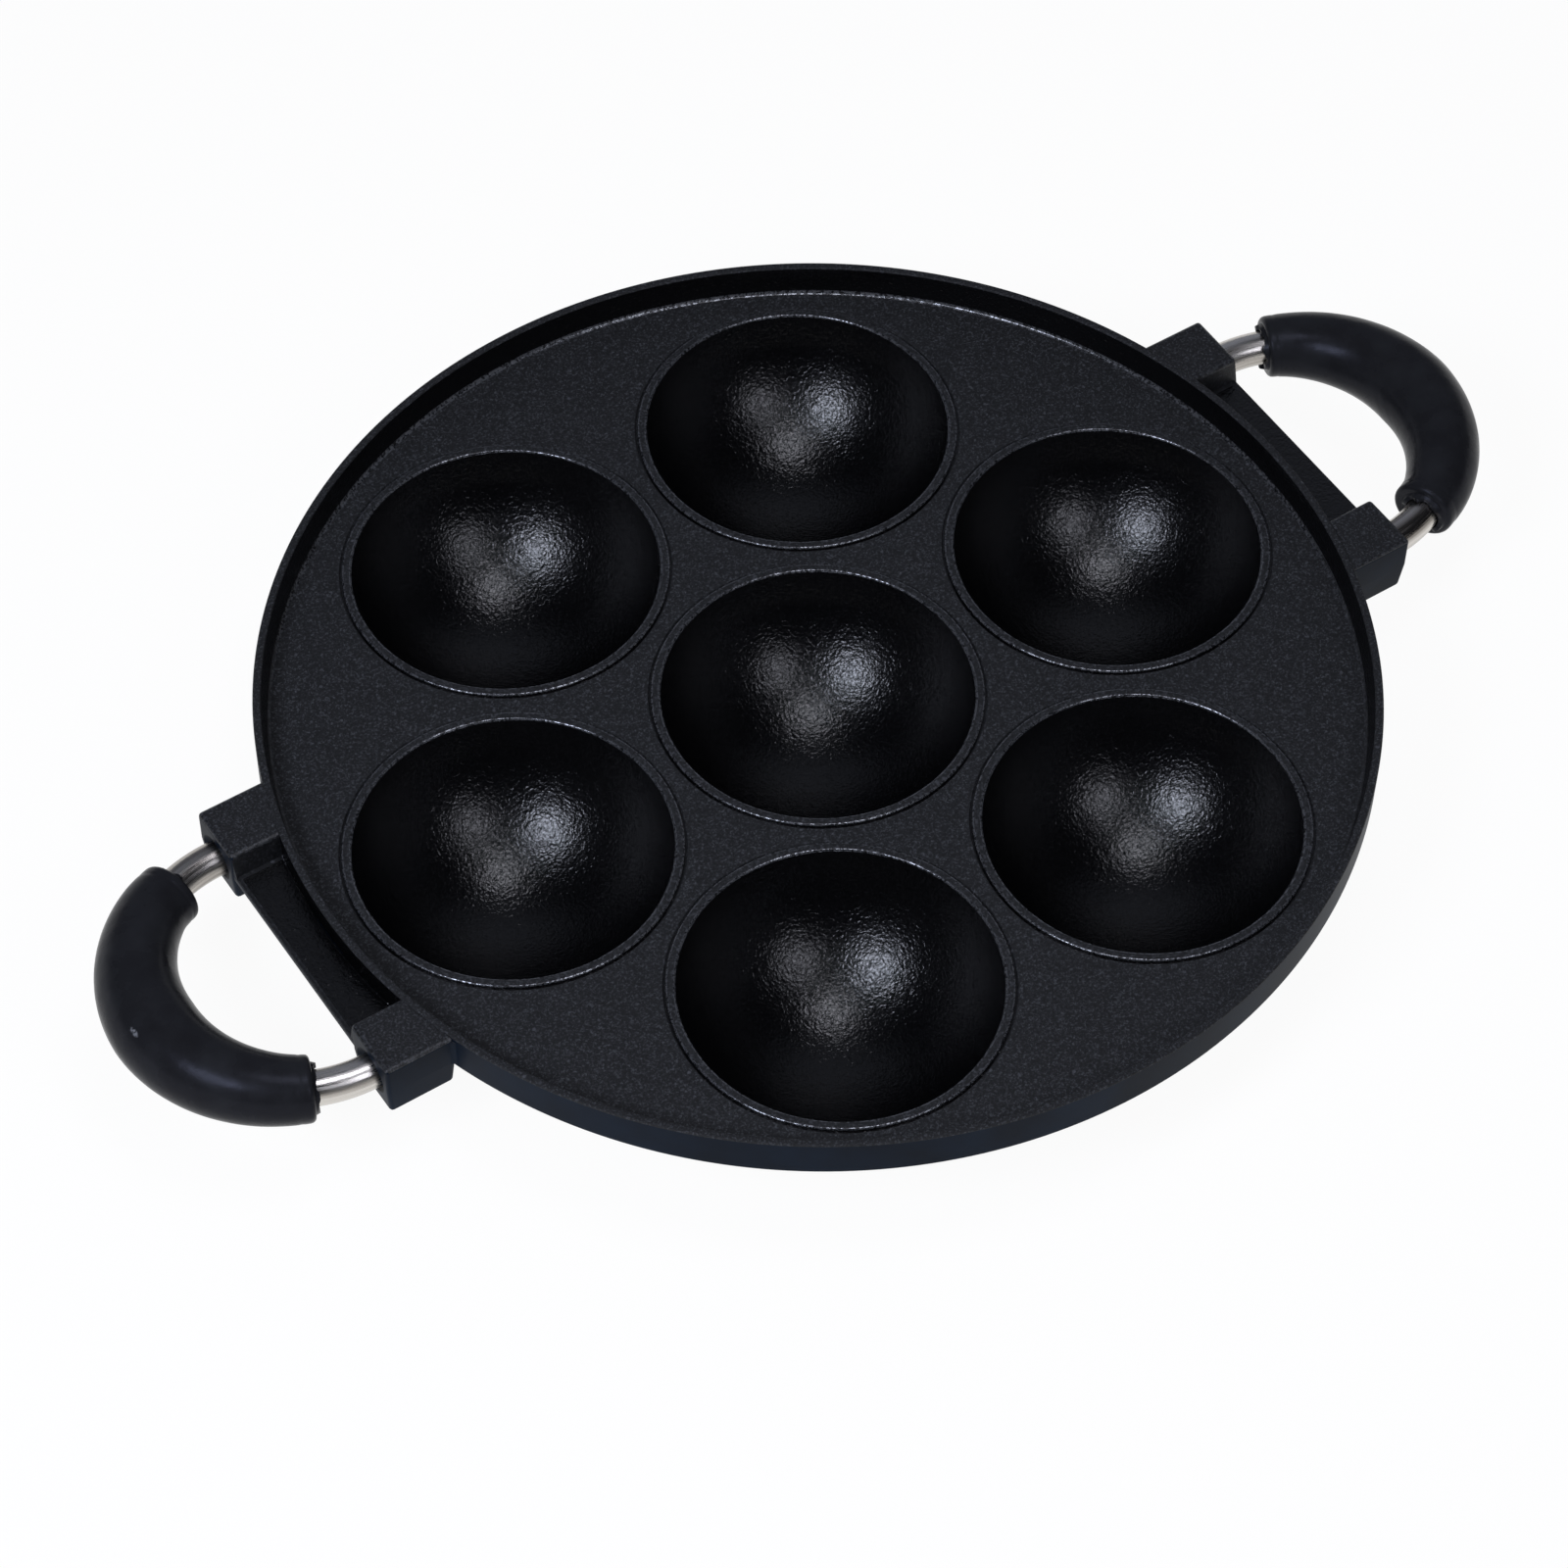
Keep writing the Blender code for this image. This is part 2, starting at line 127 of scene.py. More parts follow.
def pick(kind: str, test: Callable[[Vector], bool]) -> None:
    """Select the points or edges of the mesh in edit mode that pass a test.

    Args:
        kind: VERT or EDGE.
        test: Takes a point, or an edge's middle, and says whether it is picked.
    """
    bpy.ops.mesh.select_mode(type=kind)
    bpy.ops.mesh.select_all(action="DESELECT")
    mesh = bpy.context.object.data
    work = bmesh.from_edit_mesh(mesh)
    for element in work.verts if kind == "VERT" else work.edges:
        ends = [element] if kind == "VERT" else element.verts
        if test(sum((end.co for end in ends), Vector()) / len(ends)):
            element.select_set(True)
    work.select_flush_mode()
    bmesh.update_edit_mesh(mesh)


def extrude(step: Point) -> None:
    """Extrude the selected elements and move the new ones by a step."""
    bpy.ops.mesh.extrude_region_move(TRANSFORM_OT_translate={"value": step})


def spin(angle: float, steps: int = 1) -> None:
    """Spin the selected ring about Z, anticlockwise from above, which the operator counts as negative."""
    bpy.ops.mesh.spin(steps=steps, angle=-angle, center=(0, 0, 0), axis=(0, 0, 1))


def apply_modifier(obj: Piece, kind: str, settings: dict[str, object]) -> None:
    """Add a modifier with its settings and apply it.

    Args:
        obj: Object that takes the modifier.
        kind: Modifier type.
        settings: Values of the modifier's properties.
    """
    take(obj)
    step = obj.modifiers.new(kind.title(), kind)
    for name, value in settings.items():
        setattr(step, name, value)
    bpy.ops.object.modifier_apply(modifier=step.name)


def combine(obj: Piece, tool: Piece, operation: str) -> None:
    """Join a tool to an object or cut the object with it, and delete the tool.

    Args:
        obj: Object that stays.
        tool: Object that is used up.
        operation: UNION, DIFFERENCE or INTERSECT.
    """
    apply_modifier(obj, "BOOLEAN", {"operation": operation, "solver": "EXACT", "object": tool})
    bpy.data.objects.remove(tool, do_unlink=True)


def bake_place(obj: Piece, place: Matrix) -> Piece:
    """Put an object at a place and bake the place into its mesh.

    Args:
        obj: Object to put there.
        place: Its place in the world.

    Returns:
        The same object.
    """
    take(obj)
    obj.matrix_world = place
    bpy.ops.object.transform_apply(location=True, rotation=True, scale=True)
    return obj


def mend(obj: Piece) -> None:
    """Merge doubled points and turn all faces outwards.

    Args:
        obj: Object to mend.
    """
    with edit_mode(obj, "SELECT"):
        bpy.ops.mesh.remove_doubles(threshold=MERGE_DISTANCE)
        bpy.ops.mesh.normals_make_consistent(inside=False)


def smooth(obj: Piece, angle: float) -> None:
    """Shade an object smooth, with flat faces kept flat.

    Args:
        obj: Object to shade.
        angle: Sharpest turn between two faces that is shaded smooth, in degrees.
    """
    take(obj)
    bpy.ops.object.shade_smooth_by_angle(angle=math.radians(angle))
    apply_modifier(obj, "WEIGHTED_NORMAL", {"mode": "FACE_AREA", "keep_sharp": True, "weight": 60})


def arc(centre: Pair, radius: float, start: float, end: float, steps: int) -> Outline:
    """Give the points of an arc in an outline.

    Args:
        centre: Radius and height of the arc's centre.
        radius: The arc's own radius.
        start: First angle in degrees, from outwards to up.
        end: Last angle in degrees.
        steps: Number of equal steps.

    Returns:
        The points, both ends included.
    """
    turns = [math.radians(start + (end - start) * step / steps) for step in range(steps + 1)]
    return [(centre[0] + radius * math.cos(turn), centre[1] + radius * math.sin(turn)) for turn in turns]


def turn_on_lathe(name: str, outline: Outline, segments: int) -> Piece:
    """Turn an outline about Z: a ring of edges is extruded and resized from point to point.

    Args:
        name: Name of the new object.
        outline: Points of (radius, height). An end on the axis is closed to a pole, and an
            outline with no end on the axis is closed by its last edge.
        segments: Number of steps round the axis.

    Returns:
        The closed, outward-facing piece.
    """
    on_axis = outline[0][0] == 0.0
    rings = [(max(radius, POLE_RADIUS), height) for radius, height in outline]
    if not on_axis:
        rings.append(rings[0])
    deselect_all()
    start = rings[0]
    bpy.ops.mesh.primitive_circle_add(vertices=segments, radius=start[0], location=(0, 0, start[1]))
    obj = bpy.context.object
    obj.name = name
    bpy.ops.object.transform_apply(location=True)
    with edit_mode(obj, "SELECT"):
        for (radius, height), (next_radius, next_height) in zip(rings, rings[1:]):
            extrude((0, 0, next_height - height))
            ratio = next_radius / radius
            bpy.ops.transform.resize(value=(ratio, ratio, 1), center_override=(0, 0, 0))
    mend(obj)
    return obj


def drum(radius: float, depth: float, middle: Point, segments: int) -> Piece:
    """Add an upright cylinder.

    Args:
        radius: Its radius.
        depth: Its height.
        middle: Place of its middle.
        segments: Number of its sides.

    Returns:
        The cylinder.
    """
    deselect_all()
    bpy.ops.mesh.primitive_cylinder_add(vertices=segments, radius=radius, depth=depth)
    return bake_place(bpy.context.object, Matrix.Translation(middle))


def store(obj: Piece, name: str, values: list[float], kind: str = "FLOAT", domain: str = "FACE") -> None:
    """Store values on an object's faces or points as an attribute that the materials read."""
    attribute = obj.data.attributes.new(name, kind, domain)
    attribute.data.foreach_set("vector" if kind == "FLOAT_VECTOR" else "value", values)


def mark_rubbed_edges(obj: Piece, span: Pair, share: float, where: Callable[[Vector], bool]) -> None:
    """Store on each face how sharply the surface turns outwards there, for the materials.

    Args:
        obj: Piece to mark.
        span: Turns in radians per mm where the rubbing starts and where it is full.
        share: Value of a fully rubbed face.
        where: Says whether a face, by its middle, can be rubbed at all.
    """
    work = bmesh.new()
    work.from_mesh(obj.data)
    values = []
    for face in work.faces:
        turn = 0.0
        for edge in face.edges if where(face.calc_center_median()) else ():
            if edge.is_manifold and edge.is_convex:
                turn += edge.calc_face_angle(0.0) * edge.calc_length() / MM
        turn /= max(face.calc_area() / MM ** 2, 1e-6)
        values.append(share * min(1.0, max(0.0, (turn - span[0]) / (span[1] - span[0]))))
    work.free()
    store(obj, WEAR_AND_GLINT, values)


def lay_finishes(obj: Piece, finishes: tuple[Finish, ...],
                 zone: Callable[[Face], Zone] | None = None) -> None:
    """Give a piece its materials.

    Args:
        obj: Finished piece.
        finishes: The materials, in the order of the zones.
        zone: Gives a face's zone, where the piece has more than one material.
    """
    obj.data.materials.clear()
    for finish in finishes:
        obj.data.materials.append(finish)
    for face in obj.data.polygons if zone else ():
        face.material_index = zone(face).value


# Materials


def linear(hex_colour: str) -> Colour:
    """Turn an sRGB hex colour into linear values.

    Args:
        hex_colour: A colour such as #202124.

    Returns:
        Red, green, blue and full alpha.
    """
    values = [int(hex_colour[i:i + 2], 16) / 255 for i in (1, 3, 5)]
    red, green, blue = (v / 12.92 if v <= 0.04045 else ((v + 0.055) / 1.055) ** 2.4 for v in values)
    return red, green, blue, 1.0


def feed(tree: Tree, node: Node, inputs: dict[str | int, object]) -> None:
    """Set or link a node's inputs.

    Args:
        tree: Node tree of the material or world.
        node: Node to feed.
        inputs: Names or numbers of inputs, each with its value, the output that feeds it, or
            the node whose first output does.
    """
    for name, value in inputs.items():
        if isinstance(value, Node):
            value = value.outputs[0]
        if isinstance(value, bpy.types.NodeSocket):
            tree.links.new(value, node.inputs[name])
        else:
            node.inputs[name].default_value = value


def add(tree: Tree, kind: str, inputs: dict[str | int, object] | None = None, **settings: object) -> Node:
    """Add a node to a tree.

    Args:
        tree: Node tree of the material or world.
        kind: Node type without the ShaderNode prefix.
        inputs: The node's inputs, as feed takes them.
        settings: The node's own properties.

    Returns:
        The new node.
    """
    node = tree.nodes.new("ShaderNode" + kind)
    for name, value in settings.items():
        setattr(node, name, value)
    feed(tree, node, inputs or {})
    return node


def noise(tree: Tree, place: Source, size: float, detail: float = 2.0, distortion: float = 0.0,
          roughness: float = 0.5) -> Node:
    """Add noise whose coarsest knots have a size in mm."""
    return add(tree, "TexNoise", {"Vector": place, "Scale": 1 / (size * MM), "Detail": detail,
                                  "Distortion": distortion, "Roughness": roughness})


def calculate(tree: Tree, operation: str, *terms: Source | float) -> Node:
    """Add a calculation with up to three terms."""
    return add(tree, "Math", dict(enumerate(terms)), operation=operation)


def remap(tree: Tree, value: Source, span: Pair, target: tuple[Source | float, float] = (0.0, 1.0)) -> Node:
    """Map a span of values to a target span, whose ends hold beyond it."""
    return add(tree, "MapRange", {"Value": value, "From Min": span[0], "From Max": span[1],
                                  "To Min": target[0], "To Max": target[1]})


def ramp(tree: Tree, value: Source, *stops: tuple[float, str]) -> Node:
    """Colour a value by stops.

    Args:
        tree: Node tree of the material.
        value: Output to colour.
        stops: Place and hex colour of each stop.

    Returns:
        The colour ramp.
    """
    node = add(tree, "ValToRGB", {0: value})
    elements = node.color_ramp.elements
    while len(elements) < len(stops):
        elements.new(0.5)
    for element, (place, colour) in zip(elements, stops):
        element.position, element.color = place, linear(colour)
    return node


def lay_over(tree: Tree, share: Source, under: Source, colour: str) -> bpy.types.NodeSocket:
    """Lay a hex colour over a colour output by a share."""
    return add(tree, "Mix", {"Factor": share, "A": under, "B": linear(colour)}, data_type="RGBA").outputs[2]


def bump(tree: Tree, height: Source, depth: float, strength: Source | float = 1.0, **under: Source) -> Node:
    """Add a bump of a depth in mm, over another one given as Normal."""
    return add(tree, "Bump", {"Height": height, "Distance": depth * MM, "Strength": strength} | under)


def new_material(name: str) -> tuple[Finish, Tree, Node]:
    """Make a material with nodes.

    Args:
        name: The material's name.

    Returns:
        The material, its node tree and its Principled shader.
    """
    made = bpy.data.materials.new(name)
    made.use_nodes = True
    return made, made.node_tree, made.node_tree.nodes["Principled BSDF"]


@dataclass(frozen=True)
class NonStickCoat:
    """PTFE coat sprayed on cast aluminium and baked.

    The spray dries to a fine sandy grain with small worm-like wrinkles, drawn here about twice
    as coarse as real so that they show at arm's length. It gives a soft grey sheen on the
    flats, tight wrinkled highlights where it is smoother, faint pale dots here and there, and
    glossier stretches with metal crumbs: wear along sharp edges, and a painted highlight line
    along hollow feet of walls. Lengths are in mm.
    """

    name: str
    dark: str
    colour: str
    crest: str
    roughness: float
    grain: float
    grain_height: float
    wrinkle: float
    wrinkle_height: float
    dot_reach: float = 0.1
    specular: float = 0.36
    dot_spacing: float = 2.6
    dot_colour: str = "#5E6066"
    crumb: float = 0.7
    metal_colour: str = "#808286"
    rubbed_roughness: float = 0.24

    def make(self) -> Finish:
        """Build the coat: mottled base, dots, metal crumbs of wear and of painted highlight, and grain over
        wrinkles as bump.

        Returns:
            The coat's material.
        """
        made, tree, shader = new_material(self.name)
        place = add(tree, "TexCoord").outputs["Object"]
        rub = add(tree, "Attribute", attribute_name=WEAR_AND_GLINT).outputs["Fac"]
        grain = noise(tree, place, self.grain, distortion=0.6, roughness=0.6)
        mottle = ramp(tree, grain, (0.33, self.dark), (0.53, self.colour), (0.74, self.crest))

        swirl = noise(tree, place, 2.5 * self.wrinkle, 1.0, distortion=0.9)
        worms = calculate(tree, "SINE", calculate(tree, "MULTIPLY", swirl, 14.0))
        knots = noise(tree, place, self.wrinkle, distortion=0.5)
        wrinkle = calculate(tree, "MULTIPLY_ADD", worms, 0.12, knots)

        cells = add(tree, "TexVoronoi", {"Vector": place, "Scale": 1 / (self.dot_spacing * MM)})
        dot = remap(tree, cells.outputs["Distance"], (self.dot_reach + 0.08, self.dot_reach))
        chance = remap(tree, cells.outputs["Color"], (0.45, 1.0), (0.0, 0.5))
        dotted = lay_over(tree, calculate(tree, "MULTIPLY", dot, chance), mottle, self.dot_colour)

        # Metal crumbs: wear on sharp edges, and a painted highlight line where hollow feet carry the
        # attribute.
        crumbs = remap(tree, noise(tree, place, self.crumb, 1.0), (0.44, 0.6))
        crumbs_of_wear_and_glint = calculate(tree, "MULTIPLY", calculate(tree, "POWER", rub, 2.0), crumbs)
        left = remap(tree, rub, (0.0, 1.0), (1.0, 0.1))
        fine = bump(tree, grain, self.grain_height, left)
        sheen = remap(tree, wrinkle, (0.2, 0.8), (self.roughness - 0.03, self.roughness + 0.03))
        feed(tree, shader, {
            "Base Color": lay_over(tree, crumbs_of_wear_and_glint, dotted, self.metal_colour),
            "Metallic": calculate(tree, "MULTIPLY", crumbs_of_wear_and_glint, 0.95),
            "Roughness": remap(tree, rub, (0.0, 0.5), (sheen, self.rubbed_roughness)),
            "Normal": bump(tree, wrinkle, self.wrinkle_height, left, Normal=fine),
            "IOR": 1.5, "Specular IOR Level": self.specular})
        return made


@dataclass(frozen=True)
class HeatPaint:
    """Heat-resistant paint on the outside of the casting.

    Smooth, with a faint orange peel: a near-black blue with a broad, dim gloss. Lengths are in mm.
    """

    name: str = "heat_paint"
    dark: str = "#0A1420"
    colour: str = "#0F1D2C"
    peel: float = 1.1
    cloud: float = 14.0

    def make(self) -> Finish:
        """Build the paint: two close blues in wide clouds, with the orange peel as bump.

        Returns:
            The paint's material.
        """
        made, tree, shader = new_material(self.name)
        place = add(tree, "TexCoord").outputs["Object"]
        cloud = noise(tree, place, self.cloud)
        feed(tree, shader, {
            "Base Color": ramp(tree, cloud, (0.35, self.dark), (0.7, self.colour)),
            "Normal": bump(tree, noise(tree, place, self.peel), 0.012),
            "Roughness": 0.42, "IOR": 1.45, "Specular IOR Level": 0.05})
        return made


@dataclass(frozen=True)
class PolishedSteel:
    """Drawn stainless steel rod, polished along its length.

    The polishing leaves fine streaks that way, drawn about twice as coarse as real: bright
    metal with long soft highlights and a few duller bands. Lengths are in mm.
    """

    name: str = "stainless_steel"
    dull: str = "#8F8A84"
    colour: str = "#CFCBC5"
    line: float = 0.5
    band: float = 2.4

    def make(self) -> Finish:
        """Build the steel: noise stretched along the rod sets its tint, roughness and bump.

        Returns:
            The steel's material.
        """
        made, tree, shader = new_material(self.name)
        lay = add(tree, "Attribute", attribute_name=LAY).outputs["Vector"]
        lines = noise(tree, lay, self.line, 3.0, roughness=0.65)
        feed(tree, shader, {
            "Base Color": ramp(tree, noise(tree, lay, self.band), (0.35, self.dull), (0.62, self.colour)),
            "Roughness": remap(tree, lines, (0.3, 0.7), (0.16, 0.4)),
            "Normal": bump(tree, lines, 0.04),
            "Metallic": 1.0})
        return made


@dataclass(frozen=True)
class SleeveRubber:
    """Moulded silicone rubber of the sleeves.

    Satin black with a soft bluish sheen: a fine moulded grain over slow waves, and one small
    pale scuff on the left sleeve. Lengths are in mm.
    """

    name: str = "silicone_rubber"
    dark: str = "#1F1F21"
    colour: str = "#27282A"
    sheen: str = "#E0E5FF"
    grain: float = 0.7
    cloud: float = 7.0
    wave: float = 4.0
    scuff_colour: str = "#8C8E92"
    scuff_place: Point = (-166.8, -3.1, 37.5)
    scuff_squeeze: Point = (1.0, 0.45, 1.0)
    scuff_edge: Pair = (0.7, 0.4)

    def make(self) -> Finish:
        """Build the rubber: faint clouds of dust, a flaky scuff, and grain over waves as bump.

        Returns:
            The rubber's material.
        """
        made, tree, shader = new_material(self.name)
        place = add(tree, "TexCoord").outputs["Object"]
        grain = noise(tree, place, self.grain)
        cloud = noise(tree, place, self.cloud, 3.0)
        dusty = ramp(tree, cloud, (0.3, self.dark), (0.75, self.colour))
        squeeze = Vector(self.scuff_squeeze)
        squeezed = add(tree, "VectorMath", {0: place, 1: squeeze}, operation="MULTIPLY")
        middle = Vector(self.scuff_place) * MM * squeeze
        away = add(tree, "VectorMath", {0: squeezed, 1: middle}, operation="DISTANCE").outputs["Value"]
        near = remap(tree, away, (self.scuff_edge[0] * MM, self.scuff_edge[1] * MM), (0.0, 0.7))
        scuff = calculate(tree, "MULTIPLY", near, remap(tree, grain, (0.42, 0.5)))
        waves = bump(tree, noise(tree, place, self.wave, 1.0), 0.1)
        feed(tree, shader, {
            "Base Color": lay_over(tree, scuff, dusty, self.scuff_colour),
            "Roughness": remap(tree, cloud, (0.3, 0.7), (0.22, 0.34)),
            "Normal": bump(tree, grain, 0.02, Normal=waves),
            "IOR": 1.41, "Specular IOR Level": 0.12, "Specular Tint": linear(self.sheen)})
        return made


@dataclass(frozen=True)
class Finishes:
    """The pan's finishes, made once: the casting's in the order of the zones, steel and rubber."""

    casting: tuple[Finish, ...]
    steel: Finish
    rubber: Finish

    @classmethod
    def make(cls) -> "Finishes":
        """Make every finish of the pan.

        Returns:
            All the finishes.
        """
        coat = NonStickCoat(
            "ptfe_coat_sandy", dark="#0E0F10", colour="#1B1C1E", crest="#494B4F", roughness=0.7,
            grain=0.5, grain_height=0.08, wrinkle=0.5, wrinkle_height=0.05)
        # Near-black glossy coat of the cups, also laid on the rim's walls, grooves and hollows as painted
        # shade.
        cup_and_shade_coat = NonStickCoat(
            "ptfe_coat_cups_and_shade", dark="#020203", colour="#040405", crest="#060607", roughness=0.225,
            grain=0.35, grain_height=0.0, wrinkle=0.7, wrinkle_height=0.13, dot_reach=-0.1, specular=0.5)
        # Darker copy of the sandy coat, laid on the webs and up the lugs' inner sides as painted shade.
        shade_coat = NonStickCoat(
            "ptfe_coat_painted_shade", dark="#0E0F10", colour="#151618", crest="#2C2D30", roughness=0.5,
            grain=0.6, grain_height=0.05, wrinkle=0.5, wrinkle_height=0.03)
        casting = (coat.make(), HeatPaint().make(), cup_and_shade_coat.make(), shade_coat.make())
        return cls(casting, PolishedSteel().make(), SleeveRubber().make())


# The pan


@dataclass(frozen=True)
class PanSizes:
    """Sizes in metres that the pan's pieces share, from the CAD's own values."""

    rim_radius: float = 120.4 * MM
    rim_wall: float = 1.8 * MM
    rim_top: float = 37.5 * MM
    rim_base_radius: float = 117.7 * MM
    plate_top: float = 30.3 * MM
    plate_underside: float = 27.7 * MM
    lip_plane: float = 30.8 * MM
    lip_outer_radius: float = 35.9 * MM
    groove_width: float = 0.6 * MM
    cup_ring_radius: float = 76.3 * MM
    cup_count_round: int = 6
    handle_reach: float = 129.35 * MM
    handle_height: float = 29.3 * MM
    handle_radius: float = 31.85 * MM
    handle_tilt: float = math.radians(2.1)
    rod_radius: float = 3.8 * MM
    bore_radius: float = 4.1 * MM
    rod_seating: float = 11.3 * MM

    @property
    def hole_radius(self) -> float:
        """Radius of the plate's holes, at the outer edge of the lip's groove."""
        return self.lip_outer_radius + self.groove_width

    def cup_places(self) -> list[Matrix]:
        """Place the seven cups.

        Returns:
            The cups' places, the middle one first.
        """
        places = [Matrix.Identity(4)]
        for index in range(self.cup_count_round):
            turn = Matrix.Rotation(math.tau * index / self.cup_count_round, 4, "Z")
            places.append(turn @ Matrix.Translation((self.cup_ring_radius, 0, 0)))
        return places

    def handle_frame(self, side: Side) -> Matrix:
        """Give the frame of a handle: origin on its lug faces, tilted up outwards."""
        reach = Matrix.Translation((self.handle_reach, 0, self.handle_height))
        return Matrix.Rotation(side.value, 4, "Z") @ reach @ Matrix.Rotation(-self.handle_tilt, 4, "Y")


def hand_over(obj: Piece, node: str) -> None:
    """Let a finished piece stand for a CAD node and ride on the pan.

    Args:
        obj: Finished piece.
        node: CAD node that it stands for.
    """
    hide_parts(node)
    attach(obj, "root")
    obj.data.calc_loop_triangles()
    log.info("%s: %d triangles", obj.name, len(obj.data.loop_triangles))


@dataclass
class Builder:
    """Shared sizes and finishes that every builder of pieces needs."""

    sizes: PanSizes
    finishes: Finishes


@dataclass
class PlateAndRim(Builder):
    """Plate with its rim, turned, with a hole for each cup."""

    segments: int = 288
    hole_segments: int = 128
    rim_edge: float = 0.4 * MM
    inner_fillet: float = 0.9 * MM
    plate_edge: float = 0.7 * MM
    support: float = 0.6 * MM
    fillet_steps: int = 6
    edge_steps: int = 3
    smooth_to: float = 50.0
    # Turn where the painted highlight along the inner wall's foot is strongest, and its least and most
    # share.
    brightest_glint_turn: float = math.radians(65.0)
    foot_rub: Pair = (0.15, 0.95)

    def outline(self) -> Outline:
        """Draw the outline of plate and rim.

        Returns:
            The closed outline, from the middle hole outwards.
        """
        s = self.sizes
        inner = s.rim_radius - s.rim_wall
        fillet = (s.rim_base_radius - self.inner_fillet, s.plate_top + self.inner_fillet)
        points = [(s.hole_radius, s.plate_top), (fillet[0] - self.support, s.plate_top)]
        points += arc(fillet, self.inner_fillet, -90, 0, self.fillet_steps)
        edge, height = self.rim_edge, s.rim_top - self.rim_edge
        points += arc((inner + edge, height), edge, 180, 90, self.edge_steps)
        points += arc((s.rim_radius - edge, height), edge, 90, 0, self.edge_steps)
        corner = (s.rim_radius - self.plate_edge, s.plate_underside + self.plate_edge)
        points += arc(corner, self.plate_edge, 0, -90, self.fillet_steps)
        points += [(corner[0] - self.support, s.plate_underside), (s.hole_radius, s.plate_underside)]
        return points

    def painted_foot_glint(self, face: Face) -> float:
        """Paint a highlight line of glossy metal crumbs along the hollow foot of the rim's inner wall,
        strongest on one side.

        Args:
            face: Face of the piece.

        Returns:
            How strongly the painted highlight is laid on the face, from 0 to 1.
        """
        top = self.sizes.plate_top
        if not top + SAME_LEVEL < face.center.z < top + self.inner_fillet:
            return 0.0
        share = 0.5 + 0.5 * math.cos(math.atan2(face.center.y, face.center.x) - self.brightest_glint_turn)
        least, most = self.foot_rub
        return least + (most - least) * share ** 2

    def zone(self, face: Face) -> Zone:
        """Zone the piece: the near-black glossy coat as painted shade up the inner wall and over the webs,
        painted outside.

        Args:
            face: Face of the piece.

        Returns:
            The face's zone.
        """
        s = self.sizes
        height = face.center.z
        radius = math.hypot(face.center.x, face.center.y)
        wall = radius > s.rim_radius - 0.2 * MM and height < s.rim_top - 0.3 * MM
        over_web = wall and abs(face.center.y) < s.handle_radius and height > s.plate_top
        inner_wall = not wall and s.plate_top + self.inner_fillet < height < s.rim_top - self.rim_edge
        # Painted shade: the inner wall and the wall over the web get the near-black cup coat.
        if over_web or inner_wall:
            return Zone.CUP
        return Zone.OUTSIDE if wall or height < s.plate_underside + self.plate_edge else Zone.COATED

    def build(self) -> None:
        """Turn the plate and rim, cut the outer holes and dress the zones."""
        s = self.sizes
        obj = turn_on_lathe("plate_and_rim", self.outline(), self.segments)
        for place in s.cup_places()[1:]:
            tool = drum(s.hole_radius, 20 * MM, (0, 0, s.plate_top), self.hole_segments)
            combine(obj, bake_place(tool, place), "DIFFERENCE")
        mend(obj)
        smooth(obj, self.smooth_to)
        # Painted highlight: a glint line along the hollow foot of the inner wall, stored in the wear
        # attribute.
        store(obj, WEAR_AND_GLINT, [self.painted_foot_glint(face) for face in obj.data.polygons])
        lay_finishes(obj, self.finishes.casting[:Zone.WEB.value], self.zone)
        hand_over(obj, "pan_body")


